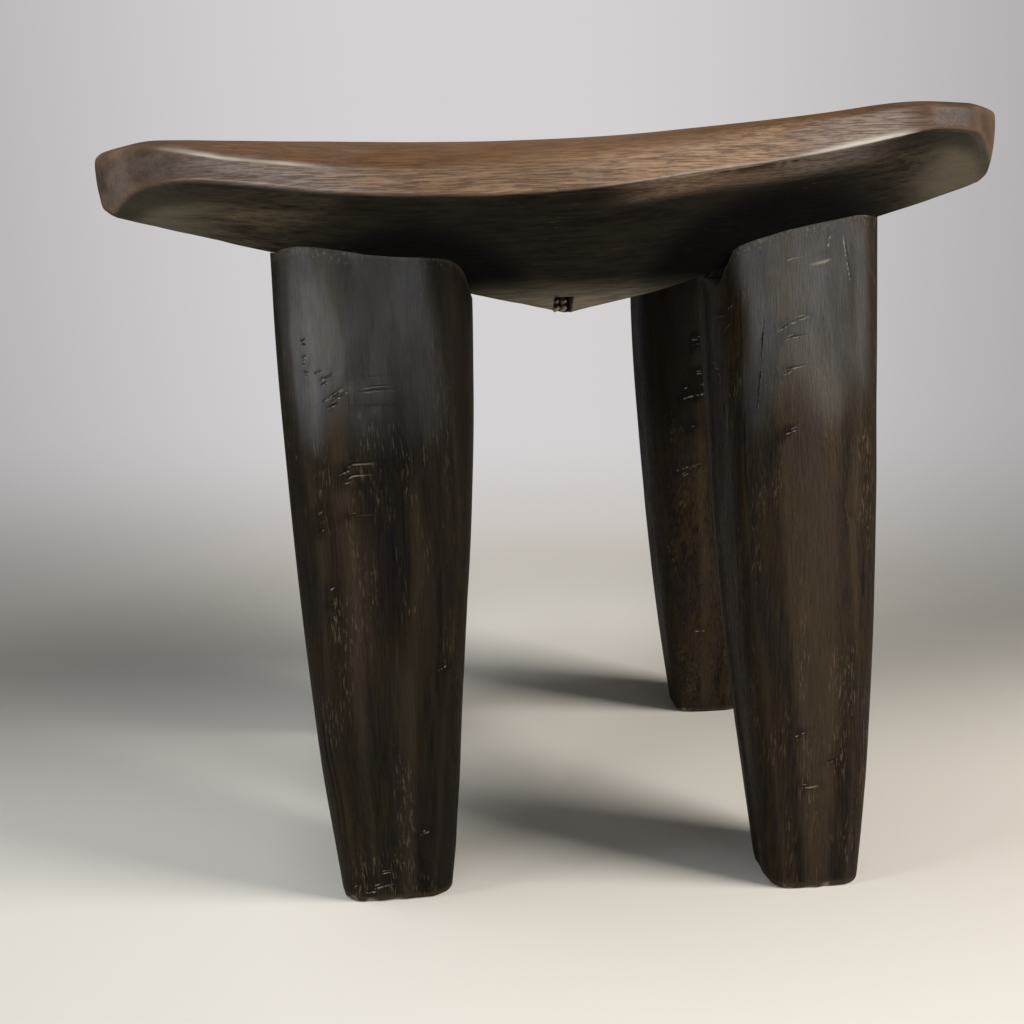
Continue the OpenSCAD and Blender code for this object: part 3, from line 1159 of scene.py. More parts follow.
# Each stroke: its ends in the picture, its width and its depth in mm
STROKES = {
    "leg_front_left": [
        (314, 373, 322, 371, 1.3, 0.5), (319, 380, 333, 374, 1.4, 0.6), (321, 385, 328, 381, 1.2, 0.5),
        (330, 396, 343, 387, 1.5, 0.7), (322, 402, 332, 395, 1.4, 0.5), (331, 402, 347, 391, 1.5, 0.7),
        (327, 408, 339, 402, 1.3, 0.6), (358, 393, 384, 387, 1.6, 0.9), (361, 405, 371, 402, 1.3, 0.5),
        (364, 409, 376, 404, 1.2, 0.4), (359, 379, 374, 376, 1.1, 0.3), (358, 372, 372, 370, 1.0, 0.3),
        (300, 340, 305, 339, 1.6, 0.5), (301, 345, 305, 344, 1.6, 0.5), (301, 357, 306, 356, 1.6, 0.5),
        (302, 364, 305, 363, 1.6, 0.5), (304, 373, 308, 372, 1.6, 0.5), (338, 475, 350, 469, 1.4, 0.6),
        (343, 469, 356, 462, 1.4, 0.6), (346, 479, 357, 473, 1.3, 0.5), (343, 484, 352, 480, 1.2, 0.4),
        (318, 512, 323, 508, 1.4, 0.4), (320, 521, 325, 519, 1.2, 0.3), (318, 532, 323, 529, 1.2, 0.4),
        (348, 517, 362, 514, 1.0, 0.3), (330, 589, 335, 586, 1.3, 0.4), (330, 604, 334, 602, 1.3, 0.4),
        (333, 617, 337, 615, 1.2, 0.4), (371, 600, 376, 599, 1.1, 0.3), (438, 670, 446, 665, 1.2, 0.3),
        (420, 834, 429, 831, 1.2, 0.3), (352, 886, 359, 884, 1.6, 0.6), (374, 888, 386, 885, 1.5, 0.6),
        (381, 874, 388, 871, 1.2, 0.4), (366, 892, 376, 891, 1.5, 0.6),
    ],
    "leg_front_right": [
        (777, 331, 791, 322, 1.5, 0.6), (789, 323, 806, 316, 1.5, 0.6), (784, 340, 799, 334, 1.4, 0.5),
        (785, 369, 799, 366, 1.4, 0.6), (784, 374, 791, 371, 1.2, 0.4), (784, 434, 798, 428, 1.4, 0.6),
        (786, 260, 792, 257, 1.2, 0.4), (790, 272, 796, 269, 1.3, 0.5), (829, 233, 819, 288, 1.5, 0.1),
        (844, 236, 851, 280, 1.2, 0.1), (764, 316, 761, 362, 0.9, 0.5), (761, 366, 757, 409, 0.9, 0.5),
        (714, 362, 734, 373, 1.2, 0.5), (715, 363, 731, 382, 1.2, 0.5), (716, 365, 732, 397, 1.2, 0.4),
        (719, 371, 721, 382, 1.0, 0.4), (713, 318, 725, 315, 1.1, 0.4), (722, 334, 731, 322, 1.1, 0.4),
        (727, 309, 734, 303, 1.1, 0.3), (795, 736, 804, 732, 1.3, 0.5), (799, 787, 811, 787, 0.9, 0.3),
        (828, 761, 833, 760, 1.6, 0.7),
    ],
    "leg_back_right": [
        (692, 339, 705, 338, 1.3, 0.6), (692, 344, 704, 342, 1.3, 0.6), (695, 373, 709, 372, 1.3, 0.6),
        (700, 384, 709, 382, 1.2, 0.5), (681, 399, 692, 395, 1.3, 0.6), (690, 396, 709, 392, 1.4, 0.7),
        (684, 388, 689, 386, 1.2, 0.5), (689, 427, 696, 424, 1.3, 0.5), (676, 470, 688, 466, 1.3, 0.6),
        (686, 467, 700, 463, 1.2, 0.6), (682, 476, 688, 473, 1.2, 0.4), (694, 631, 705, 630, 1.1, 0.4),
    ],
}


def frayed(strokes, rng):
    """Each stroke and a shorter, shallower one beside it, because a blade chatters as it strikes."""
    for x0, y0, x1, y1, width, depth in strokes:
        yield x0, y0, x1, y1, width, depth
        start, end = np.sort(rng.uniform(0, 1, 2))
        over = rng.choice((-1, 1)) * rng.uniform(2, 3.4)
        ends = [(x0 + (x1 - x0) * part, y0 + (y1 - y0) * part + over) for part in (start, end)]
        if end - start > 0.3:
            yield *ends[0], *ends[1], 0.65 * width, 0.6 * depth


def stroke_place(points, start, end):
    """Distance to a stroke, height over its line, and how far along it each point is."""
    line = end - start
    length = max(np.linalg.norm(line), 1e-6)
    way = line / length
    along = np.clip((points - start) @ way / length, 0, 1)
    off = points - start - along[:, None] * line
    over = np.array((0, 0, 1)) - way * way[2]
    return np.linalg.norm(off, axis=1), off @ (over / np.linalg.norm(over)), along


def refine(made, pressed):
    """Splits the edges near the strokes, twice."""
    for _ in range(2):
        made.verts.ensure_lookup_table()
        points = np.array([v.co for v in made.verts])
        near = np.zeros(len(points), bool)
        for start, end, _, _ in pressed:
            near |= stroke_place(points, start, end)[0] < NICK_REACH
        close = [edge for edge in made.edges if near[edge.verts[0].index] and near[edge.verts[1].index]]
        bmesh.ops.subdivide_edges(made, edges=close, cuts=1, use_grid_fill=True)
        bmesh.ops.triangulate(made, faces=made.faces)
        made.verts.index_update()


def press_nicks(piece, strokes):
    made = bmesh.new()
    made.from_mesh(piece.data)
    surface = BVHTree.FromBMesh(made)
    pressed = []
    for x0, y0, x1, y1, width, depth in frayed(strokes, np.random.default_rng(len(strokes))):
        ends = [surface.ray_cast(EYE, sight_line(*end))[0] for end in ((x0, y0), (x1, y1))]
        if all(ends):
            pressed.append((*(np.array(end) for end in ends), width * MM, depth * MM))
    refine(made, pressed)
    made.to_mesh(piece.data)
    made.free()
    points, normals = mesh_arrays(piece.data)
    depths, groove = np.zeros((2, len(points)))
    bare = read(piece.data, "bare")
    torn = 0.7 + 0.6 * wander(points, 1.6, 71)
    crumbly = ease(wander(points, 0.75, 72), -0.15, 0.2)
    for start, end, width, depth in pressed:
        gap, side, along = stroke_place(points, start, end)
        taper = np.clip(4 * along * (1 - along) * 1.6, 0, 1) ** 0.5 * torn
        half = width / 2
        depths += depth * np.clip(1 - gap / half, 0, 1) * taper
        depths -= 0.25 * depth * hump(gap, half, 0.35 * half) * taper
        # the lower lip: bare wood with a painted highlight
        bare += 1.4 * hump(side, -0.8 * half, 0.5 * half) * (gap < 1.3 * half) * taper * crumbly
        # painted shade in the groove
        groove += hump(side, 0.2 * half, 0.6 * half) * taper * (gap < half)
    store(piece.data, "bare", np.clip(bare, 0, 1))
    store(piece.data, "groove", np.clip(groove, 0, 1))
    move_points(piece.data, points - normals * np.maximum(depths, -LIP_LIMIT)[:, None])
    return len(pressed)


for node, strokes in STROKES.items():
    pressed = press_nicks(legs[node], strokes)
    print(pressed, "nicks in", legs[node].name, "which now has", len(legs[node].data.polygons), "triangles")

# %% [markdown]
# ## The broken peg
# Only a splintered stub of the peg is left in its notch. A node tree sets rough slivers side by side,
# like the fibres of snapped wood, each with its own length.

# %% Build the splinter tree


def splinter_tree():
    tree, given, made = new_tree(
        "splinters",
        "GeometryNodeTree",
        [
            ("Width", "Float", 0.008),
            ("Height", "Float", 0.006),
            ("Length", "Float", 0.01),
            ("Across", "Int", 5),
            ("Up", "Int", 4),
            ("Raggedness", "Float", 0.5),
            ("Seed", "Int", 3),
            ("Place", "Vector", None),
            ("Material", "Material", None),
        ],
        [("Geometry", "Geometry")],
    )
    step_x = given["Width"] / given["Across"]
    step_z = given["Height"] / given["Up"]
    grid = signal(
        "GeometryNodeMeshGrid",
        {
            "Vertices X": given["Across"],
            "Vertices Y": given["Up"],
            "Size X": given["Width"] - step_x,
            "Size Y": given["Height"] - step_z,
        },
    )
    sliver = signal(
        "GeometryNodeMeshCone",
        {"Vertices": 6, "Side Segments": 3, "Radius Top": 0.16, "Radius Bottom": 0.62, "Depth": 1.0},
        tree=tree,
        fill_type="NGON",
    )
    length, turn = (
        signal("FunctionNodeRandomValue", {2: low, 3: high, "Seed": given["Seed"]}, 1, data_type="FLOAT")
        for low, high in ((1.0 - given["Raggedness"], 1.0), (0.0, 1.5))
    )
    inputs = {
        "Points": grid,
        "Instance": sliver,
        "Rotation": signal("FunctionNodeEulerToRotation", {0: combine(0.0, 0.0, turn)}),
        "Scale": combine(step_x, step_z, length * given["Length"]),
    }
    spread = signal("GeometryNodeInstanceOnPoints", inputs)
    inputs = {"Geometry": spread, "Translation": given["Place"], "Rotation": (math.pi / 2, 0, 0)}
    laid = signal("GeometryNodeTransform", inputs)
    fill(made, {0: dressed(laid, given["Material"])})
    return tree


peg_size = peg_hi - peg_lo
peg = grow(
    "broken_peg",
    splinter_tree(),
    {
        "Width": peg_size.x * 0.9,
        "Height": peg_size.z * 0.9,
        "Length": peg_size.y * 0.96,
        "Across": 2,
        "Up": 2,
        "Raggedness": 0.85,
        "Place": Vector(((peg_lo.x + peg_hi.x) / 2, peg_hi.y - 0.1 * MM, (peg_lo.z + peg_hi.z) / 2)),
        "Material": woods["peg_wood"],
    },
)
print("Peg triangles:", sum(len(p.vertices) - 2 for p in peg.data.polygons))

# %% [markdown]
# ## Painting helpers
# Each wood is one material. Effects that they share are node groups: the grain, which is noise drawn out
# along the wood's length, and the mottling of old patina. The geometry gives the masks, stored on the
# points: ridge, where the surface stands proud and cloth has rubbed it, hollow, where dirt stays, and
# where hands and smoke reach, which also carry a painted sheen and painted shade on the legs and painted
# highlights on the seat's edge.

# %% Masks from the shape


def smooth_over(mesh, values, rounds):
    """Averages values over each point's neighbours, several times."""
    edges = np.empty(len(mesh.edges) * 2, int)
    mesh.edges.foreach_get("vertices", edges)
    a, b = edges.reshape(-1, 2).T
    count = len(mesh.vertices)
    total = np.bincount(a, minlength=count) + np.bincount(b, minlength=count)
    values = values.copy()
    for _ in range(rounds):
        for i in range(values.shape[1]):
            near = np.bincount(a, values[b, i], count) + np.bincount(b, values[a, i], count)
            values[:, i] = near / np.maximum(total, 1)
    return values


def mark_shape(piece, rounds, reach):
    """Stores how far each point stands over or under the surface round it, from 0 to 1."""
    points, normals = mesh_arrays(piece.data)
    proud = ((points - smooth_over(piece.data, points, rounds)) * normals).sum(axis=1)
    proud = smooth_over(piece.data, proud[:, None], 1)[:, 0]
    store(piece.data, "ridge", np.clip(proud / reach, 0, 1))
    store(piece.data, "hollow", np.clip(-proud / reach, 0, 1))


for leg in legs.values():
    mark_shape(leg, 10, 0.35 * MM)
mark_shape(seat, 8, 0.5 * MM)
mark_shape(peg, 1, 0.5 * MM)
print("Shape masks stored")

# %% Masks for handled wood


def mark_handled():
    """The band's face, polished whole with a painted sheen, and a painted highlight along the ridge at the
    left.
    """
    points, normals = mesh_arrays(seat.data)
    x = points[:, 0] / MM
    below = (top_height(points[:, 0]) - points[:, 2]) / MM
    roll_h = np.interp(x, EDGE_SHAPES[:, 0], EDGE_SHAPES[:, 2])
    sideways = ease(np.abs(normals[:, 1]), 0.25, 0.6)
    merged = 0.6 * span(x, -70, 0, 100, 140)
    face = ease(below, (0.85 - merged) * roll_h, 1.05 * roll_h) * sideways
    right_corner = ease(x, 138, 156)
    corners = np.clip(right_corner + ease(-x, 150, 176), 0, 1)
    # The face is painted paler about 50 mm right of the middle
    worn = 0.66 + 0.6 * hump(x, 50, 60)
    store(seat.data, "face", face * worn * (1 - 0.85 * right_corner))
    store(seat.data, "sleek", (0.12 + 0.63 * face) * (1 - 0.95 * corners))
    # A painted highlight along the ridge at the left
    ridge = hump(below, 0.95 * roll_h, 0.6) * span(x, -178, -150, -140, -80)
    ridge_highlight = ridge * sideways * (0.65 + 0.5 * wander(points, (9, 2, 2), 21))
    store(seat.data, "ridge_highlight", np.clip(ridge_highlight, 0, 1))


# Where each leg is polished and its sheen painted: its middle, and how far from it that starts and ends to
# fade, in degrees
POLISHED = {
    "leg_front_left": (-96, 24, 48),
    "leg_front_right": (-95, 28, 54),
    "leg_back_left": (92, 30, 52),
    "leg_back_right": (92, 30, 52),
}

# How dark each leg is painted: evenly, by smoke; more on one side, given in degrees, by a painted shadow;
# and more near its top, by painted shade under the seat
SMOKE_AND_SHADE = {
    "leg_front_left": (0.5, -35, 0.35, 0),
    "leg_front_right": (0.3, 0, 0, 0),
    "leg_back_left": (0.2, 0, 0, 0.6),
    "leg_back_right": (0, 180, 0.1, 0.9),
}


def mark_polish(piece, node):
    """The upper end, polished by knees and hands and painted with a grey sheen, the chipped rim at its top,
    and the smoke with painted shade.
    """
    points, _ = mesh_arrays(piece.data)
    z = points[:, 2] / MM
    foot = np.array(foot_of(node)[0])
    tenon = np.array(tenon_place(node))
    middle = foot + (tenon - foot) * (points[:, 2:] / tenon[2])
    turn = np.arctan2(points[:, 1] - middle[:, 1], points[:, 0] - middle[:, 0])
    front, inner, outer = (math.radians(angle) for angle in POLISHED[node])
    gap = np.abs(turn_gap(turn, front)) + math.radians(9) * wander(points, (12, 12, 40), 31)
    height = z + 14 * wander(points, (9, 9, 40), 32)
    store(piece.data, "polish_and_sheen", ease(height, 226, 284) * (1 - ease(gap, inner, outer)))
    below = (underside(points[:, 0], points[:, 1]) - points[:, 2]) / MM
    store(piece.data, "rim", 1 - ease(below, 1, 8))
    even, side, reach, high = SMOKE_AND_SHADE[node]
    # Smoke evenly, a painted shadow on one side and painted shade near the top under the seat
    smoke_and_shade = even + reach * turn_fall(turn, side, 35) + high * ease(z, 175, 230)
    store(piece.data, "smoke_and_shade", np.clip(smoke_and_shade, 0, 1))


for node, leg in legs.items():
    mark_polish(leg, node)
mark_handled()
marks = [made.name for made in seat.data.attributes if made.data_type == "FLOAT"]
print("Values on the seat:", ", ".join(marks))

# %% Node groups for grain and patina


def mapped(vector, scale, turn=(0, 0, 0), place=(0, 0, 0)):
    inputs = {"Vector": vector, "Location": place, "Rotation": turn, "Scale": scale}
    return signal("ShaderNodeMapping", inputs)


def noise(vector, scale, detail, rough, warp=0.0):
    inputs = {"Vector": vector, "Scale": scale, "Detail": detail, "Roughness": rough, "Distortion": warp}
    return signal("ShaderNodeTexNoise", inputs, "Fac")


def remap(value, low, high, start=0.0, end=1.0):
    inputs = {"Value": value, "From Min": low, "From Max": high, "To Min": start, "To Max": end}
    return signal("ShaderNodeMapRange", inputs, interpolation_type="SMOOTHSTEP")


def shader_group(name, size, names):
    """A node group that takes a vector and its size: gives the vector scaled, and the output node."""
    inputs = [("Vector", "Vector", None), (size, "Float", 1.0)]
    _, given, made = new_tree(name, "ShaderNodeTree", inputs, [(label, "Float") for label in names])
    return vector_calc("SCALE", given["Vector"], given[size]), made


def grain_group():
    """Grain that runs along Z: fine fibres, broad streaks, and sparse pale ticks of worn fibre."""
    base, made = shader_group("grain", "Fineness", ("Fibres", "Streaks", "Ticks"))
    drift = signal("ShaderNodeTexNoise", {"Vector": mapped(base, (1, 1, 0.3)), "Scale": 30.0}, 1)
    bent = vector_calc("ADD", base, vector_calc("SCALE", drift, 0.005))
    fibres = noise(mapped(bent, (1, 1, 0.05)), 1000.0, 4.0, 0.65)
    streaks = noise(mapped(bent, (1, 1, 0.08)), 260.0, 5.0, 0.65)
    ticks = noise(mapped(bent, (1, 1, 0.12), place=(0.3, 0.1, 0)), 1250.0, 2.0, 0.5)
    where = noise(mapped(base, (1, 1, 0.25), place=(0.1, 0.5, 0)), 60.0, 4.0, 0.6)
    sparse = remap(ticks, 0.58, 0.625) * remap(where, 0.49, 0.6)
    fill(made, {"Fibres": remap(fibres, 0.4, 0.6), "Streaks": remap(streaks, 0.39, 0.61), "Ticks": sparse})
    return made.id_data


def patina_group():
    """Three kinds of patches of old patina, fine specks, and hair scratches."""
    base, made = shader_group("patina", "Size", ("First", "Second", "Third", "Specks", "Scratches"))
    for name, scale, start in (("First", 26.0, 0.0), ("Second", 34.0, 3.1), ("Third", 21.0, 7.7)):
        patches = noise(mapped(base, (1, 1, 1), place=(start, start, start)), scale, 6.0, 0.62, 0.3)
        fill(made, {name: remap(patches, 0.42, 0.62)})
    lines = noise(mapped(base, (1, 1, 0.12), (0.5, 0.35, 0)), 240.0, 1.0, 0.4, 0.6)
    sparse = noise(mapped(base, (1, 1, 1), place=(0.2, 0.4, 0.1)), 55.0, 2.0, 0.55)
    scratches = remap(abs(lines - 0.5), 0.0, 0.006, 1.0, 0.0) * remap(sparse, 0.56, 0.66)
    fill(made, {"Specks": remap(noise(base, 300.0, 4.0, 0.7), 0.35, 0.7), "Scratches": scratches})
    return made.id_data


grain = grain_group()
patina = patina_group()
print("Shared groups:", grain.name, patina.name)

# %% Helpers for painting a material


def mix(share, a, b, blend="MIX"):
    inputs = {0: share}
    for key, value in ((6, a), (7, b)):
        inputs[key] = value if isinstance(value, Signal) else (*value, 1)
    return signal("ShaderNodeMix", inputs, 2, data_type="RGBA", blend_type=blend, clamp_factor=True)


def layered(colour, *coats):
    """Lays colours over a first one, each by its own share."""
    for share, coat in coats:
        colour = mix(share, colour, coat)
    return colour


def masks(tree, *names):
    return [signal("ShaderNodeAttribute", {}, "Fac", tree, attribute_name=name) for name in names]


def group(made, vector, **inputs):
    """All outputs of one of the shared groups."""
    node = add_node(vector.tree, "ShaderNodeGroup", {}, node_tree=made)
    fill(node, {"Vector": vector, **inputs})
    return [Signal(socket) for socket in node.outputs]


def bump(height, distance):
    return signal("ShaderNodeBump", {"Height": height, "Distance": distance, "Strength": 1.0})


def wood_start(name):
    """A wood's shader, and the place of each point on the piece."""
    tree = woods[name].node_tree
    return tree.nodes["Principled BSDF"], signal("ShaderNodeTexCoord", {}, "Object", tree)


# %% [markdown]
# ## The seat's wood
# The band and the top are a warm brown, with purple-grey patches of old wax, soot and dark fibres along
# the length. The band's face is paler, partly its own wood and partly a painted sheen that turns greyer
# towards the ends. A pale painted highlight runs along the ridge at the left and along the arris at the
# right, whose middle is worn paler where hands lift the stool. The ends are darker, partly soot and partly
# painted shade. The underside never sees a hand: it is nearly black, with streaks of dust, painted shade
# round the legs, on the front slope and along the rim, and painted light from the floor on the keel and
# towards the ends. One material holds both, mixed by the handled mask.

# %% Paint the seat's wood
BAND_DEEP = (0.026, 0.0105, 0.0042)
BAND_BROWN = (0.078, 0.0295, 0.009)
BAND_GOLD = (0.16, 0.069, 0.0195)
BAND_WORN = (0.22, 0.12, 0.057)
BAND_WEAR_AND_HIGHLIGHT = (0.72, 0.66, 0.58)
BAND_FACE = (0.45, 0.30, 0.195)
BAND_SHEEN = (0.5, 0.44, 0.40)
BAND_WAX = (0.085, 0.062, 0.062)
BAND_SOOT_AND_SHADE = (0.02, 0.012, 0.009)
BAND_DIRT = (0.015, 0.01, 0.007)
UNDER_DEEP = (0.0012, 0.0007, 0.0003)
UNDER_DUST = (0.105, 0.08, 0.048)
UNDER_OLIVE = (0.145, 0.127, 0.094)
UNDER_KEEL_LIT = (0.29, 0.245, 0.18)


def paint_seat():
    shader, place = wood_start("seat_wood")
    lengthways = mapped(place, (1, 1, 1), (0, math.pi / 2, 0))
    fibre, streak, tick = group(grain, lengthways, Fineness=1.6)
    first, second, third, speck, scratch = group(patina, mapped(lengthways, (1, 1, 0.4)), Size=1.6)
    ridge, hollow, bare, handled, ridge_highlight = masks(place.tree, "ridge", "hollow", "bare", "handled", "ridge_highlight")
    arris, face, sleek, keel_light, painted_shade = masks(place.tree, "arris", "face", "sleek", "keel_light", "painted_shade")
    x = split(place)[0]
    left = remap(x, -0.05, -0.13)
    # Both ends of the seat, where the paint adds painted shade above and painted floor light below
    end = calc("MAXIMUM", remap(x, -0.14, -0.18), remap(x, 0.152, 0.178))
    # towards both ends, where the face's painted sheen turns grey
    outer = calc("MAXIMUM", remap(x, -0.07, -0.12), remap(x, 0.08, 0.14))
    fibre, streak = (between(value, 0.5, end * 0.7) for value in (fibre, streak))
    brown = layered(
        mix(streak, BAND_DEEP, BAND_BROWN),
        (first * 0.55, BAND_GOLD),
        (second * 0.65, BAND_WAX),
        (fibre * 0.4, BAND_WORN),
        # the band's face: partly its own paler wood, partly a painted sheen
        (face * (0.3 + fibre * 0.24 + streak * 0.2 + tick * 0.2), mix(outer, BAND_FACE, BAND_SHEEN)),
        ((1.0 - fibre) ** 2.0 * 0.36, BAND_DEEP),
        # soot patches, and the wood darker towards the left
        (third * 0.35 + left * 0.2, BAND_SOOT_AND_SHADE),
        # painted shade at both ends, partly soot
        (end * between(0.3, 0.85, third), BAND_SOOT_AND_SHADE),
        # painted shade on the right corner
        (remap(x, 0.145, 0.17, 0.0, 0.6), BAND_SOOT_AND_SHADE),
        (ridge * 0.35 + bare * 0.5, BAND_WORN),
        # painted highlights along the left ridge and the right arris, and the arris's worn middle
        (calc("MAXIMUM", ridge_highlight, arris) * 0.95, BAND_WEAR_AND_HIGHLIGHT),
    )
    dark = layered(
        mix(streak * 0.3 + fibre * 0.3 + first * 0.25 + speck * 0.2, UNDER_DEEP, UNDER_DUST),
        # olive patches, and painted light from the floor towards the ends
        (second * 0.1 + end * 0.45, UNDER_OLIVE),
        # painted light from the floor, paler on the low keel
        (keel_light * between(0.5, 0.9, streak), UNDER_KEEL_LIT),
        # painted shade round the legs, on the front slope and along the rim
        (painted_shade, UNDER_DEEP),
    )
    colour = layered(mix(handled, dark, brown), (hollow * 0.6, BAND_DIRT), (scratch * 0.3, BAND_WORN))
    rough = first * 0.1 + speck * 0.12 + fibre * 0.1 + hollow * 0.15 + end * 0.15
    height = fibre * 0.7 + streak * 0.5 + speck * 0.35 + tick * 0.6 - scratch * 0.8
    inputs = {
        "Base Color": colour,
        "Roughness": rough + between(0.75, 0.42, handled),
        "Normal": bump(height, 0.2 * MM),
        "Coat Weight": calc("MULTIPLY", sleek * between(0.7, 1.25, streak), handled, clamp=True),
        "Specular IOR Level": 0.1,
        "Coat Roughness": 0.2,
    }
    fill(shader, inputs)


paint_seat()
print("Nodes in the seat's wood:", len(woods["seat_wood"].node_tree.nodes))

# %% [markdown]
# ## The legs' wood
# Smoke and oil turned the legs nearly black, and painted shade darkens them more on one side and near
# the top, under the seat. Near the seat, where hands carry the stool, the wood is polished whole and
# shines, and its grey is a painted sheen. Lower down it has dulled to brown, olive and purple-black
# streaks along the grain, with pale ticks where fibres have worn. Ridges, chips and the crumbling rim show
# paler wood; each nick's lower lip shows bare wood with a painted highlight, and its groove painted shade.

# %% Paint the legs' wood
LEG_BLACK = (0.0013, 0.0009, 0.0004)
LEG_BROWN = (0.023, 0.0122, 0.0044)
LEG_OLIVE = (0.0145, 0.0128, 0.0048)
LEG_PURPLE = (0.0062, 0.0045, 0.0075)
LEG_SHEEN = (0.066, 0.063, 0.065)
LEG_MOSS = (0.034, 0.032, 0.021)
LEG_BARE = (0.33, 0.28, 0.21)
LEG_TICK = (0.13, 0.094, 0.055)
LEG_DIRT_AND_SHADE = (0.0015, 0.0012, 0.0012)


def paint_legs():
    shader, place = wood_start("leg_wood")
    fibre, streak, tick = group(grain, place, Fineness=1.0)
    first, second, third, speck, scratch = group(patina, mapped(place, (1, 1, 0.32)), Size=2.1)
    ridge, hollow, bare, polish_and_sheen = masks(place.tree, "ridge", "hollow", "bare", "polish_and_sheen")
    rim, smoke_and_shade, groove = masks(place.tree, "rim", "smoke_and_shade", "groove")
    clean = remap(smoke_and_shade, 0.5, 1.0, 1.0, 0.0)
    tick = tick * clean
    crumbs = remap(noise(mapped(place, (1, 1, 0.6)), 820.0, 4.0, 0.7), 0.53, 0.62)
    crumbs = crumbs * rim * between(0.25, 1.0, third) * clean
    colour = layered(
        mix(streak, LEG_BLACK, LEG_BROWN),
        (first * 0.65, LEG_OLIVE),
        (second * 0.75, LEG_PURPLE),
        (third * 0.55, LEG_BROWN),
        (fibre * 0.1, LEG_TICK),
        # smoke, with a painted shadow on one side and painted shade near the top
        (smoke_and_shade, LEG_BLACK),
        # painted sheen: the polished upper front painted pale grey in place of its reflection
        (polish_and_sheen * between(0.85, 0.35, first), LEG_SHEEN),
        (polish_and_sheen * (second * 0.45 + streak * 0.25), LEG_MOSS),
        (tick * between(0.45, 0.15, polish_and_sheen), LEG_TICK),
        (ridge * 0.2 + scratch * 0.3, LEG_TICK),
        (bare * 0.8, LEG_BARE),
        (crumbs * 0.55, LEG_BARE),
        # dirt in the hollows, and painted shade in the nicks' grooves
        (hollow * 0.5 + groove * 0.9, LEG_DIRT_AND_SHADE),
    )
    rough = first * 0.1 + speck * 0.15 - polish_and_sheen * 0.12 + hollow * 0.2 + 0.5
    height = fibre * 0.7 + streak * 0.7 + speck * 0.4 + tick * 0.5 - scratch * 0.9 + crumbs * 1.5
    coat = polish_and_sheen * (1.0 - second * 0.3 - third * 0.2 - fibre * 0.15 + streak * 0.15)
    inputs = {
        "Base Color": colour,
        "Roughness": rough,
        "Normal": bump(height, 0.28 * MM),
        "Coat Weight": calc("MAXIMUM", coat, 0.02, clamp=True),
        "Specular IOR Level": 0.06,
        "Coat Roughness": 0.32,
    }
    fill(shader, inputs)


paint_legs()
print("Nodes in the legs' wood:", len(woods["leg_wood"].node_tree.nodes))

# %% Paint the peg's wood
PEG_PALE = (0.5, 0.41, 0.29)
PEG_DARK = (0.2, 0.145, 0.095)


def paint_peg():
    shader, place = wood_start("peg_wood")
    frontways = mapped(place, (1, 1, 1), (math.pi / 2, 0, 0))
    fibre, streak, tick = group(grain, frontways, Fineness=1.4)
    inputs = {
        "Base Color": layered(mix(fibre, PEG_DARK, PEG_PALE), (tick * 0.5, PEG_PALE)),
        "Roughness": remap(streak, 0.0, 1.0, 0.6, 0.9),
        "Normal": bump(fibre, 0.15 * MM),
    }
    fill(shader, inputs)


paint_peg()
print("Woods painted")

# %% [markdown]
# ## The pieces take their places
# Every piece gets its wood, soft shading with true edges kept, and stands in for the frame's own piece.

# %% Hand the pieces to the frame
SHARP = math.radians(60)


def finish_piece(piece, node, slot):
    piece.data.materials.clear()
    piece.data.materials.append(woods[slot])
    piece.data.shade_smooth()
    piece.data.set_sharp_from_angle(angle=SHARP)
    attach(piece, "root")
    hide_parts(node)


finish_piece(seat, "seat", "seat_wood")
finish_piece(peg, "apex_peg", "peg_wood")
for node, leg in legs.items():
    finish_piece(leg, node, "leg_wood")
print("Pieces handed over:", 2 + len(legs))

# %% [markdown]
# ## Floor and backdrop
# The stool stands on a pale floor that runs back into a pale grey backdrop. The floor takes the stool's
# shadow. Further out the tone comes from the paint alone, seen by camera and glossy rays, so that no
# extra light is needed to keep the background pale. Behind the stool the paint darkens to both sides, as
# the paper of a small studio does where its lamps don't reach.

# %% Make the floor and the backdrop
STAGE_R = 2.4
COVE_R = 0.5
STAGE_TOP = 2.6
STAGE_SIDES = 96
FLOOR_TONE = (0.80, 0.762, 0.705)
WARM_GREY = (0.57, 0.53, 0.485)
PALE_GREY = (0.66, 0.635, 0.645)
FLOOR_RIGHT = (0.83, 0.83, 0.83)
SIDE_SHADE = 0.36


def stage_mesh(name, first, last):
    """Part of a round floor with a wall that curves up from it, as a surface of revolution."""
    profile = [(0.0, 0.0), (0.3, 0.0), (0.6, 0.0), (1.2, 0.0), (STAGE_R - COVE_R, 0.0)]
    for angle in np.linspace(0, math.pi / 2, 13)[1:]:
        profile.append((STAGE_R - COVE_R + COVE_R * math.sin(angle), COVE_R * (1 - math.cos(angle))))
    profile.append((STAGE_R, STAGE_TOP))
    turns = np.linspace(0, 2 * math.pi, STAGE_SIDES, endpoint=False)
    made = bmesh.new()
    before = None
    for r, z in profile[first : last + 1]:
        if r == 0:
            ring = [made.verts.new((0, 0, 0))] * STAGE_SIDES
        else:
            ring = [made.verts.new((r * math.cos(turn), r * math.sin(turn), z)) for turn in turns]
        for k in range(STAGE_SIDES if before else 0):
            after = (k + 1) % STAGE_SIDES
            corners = [before[k], ring[k], ring[after], before[after]]
            made.faces.new(corners[:3] if before[k] == before[after] else corners)
        before = ring
    mesh = bpy.data.meshes.new(name)
    made.to_mesh(mesh)
    made.free()
    mesh.shade_smooth()
    return mesh


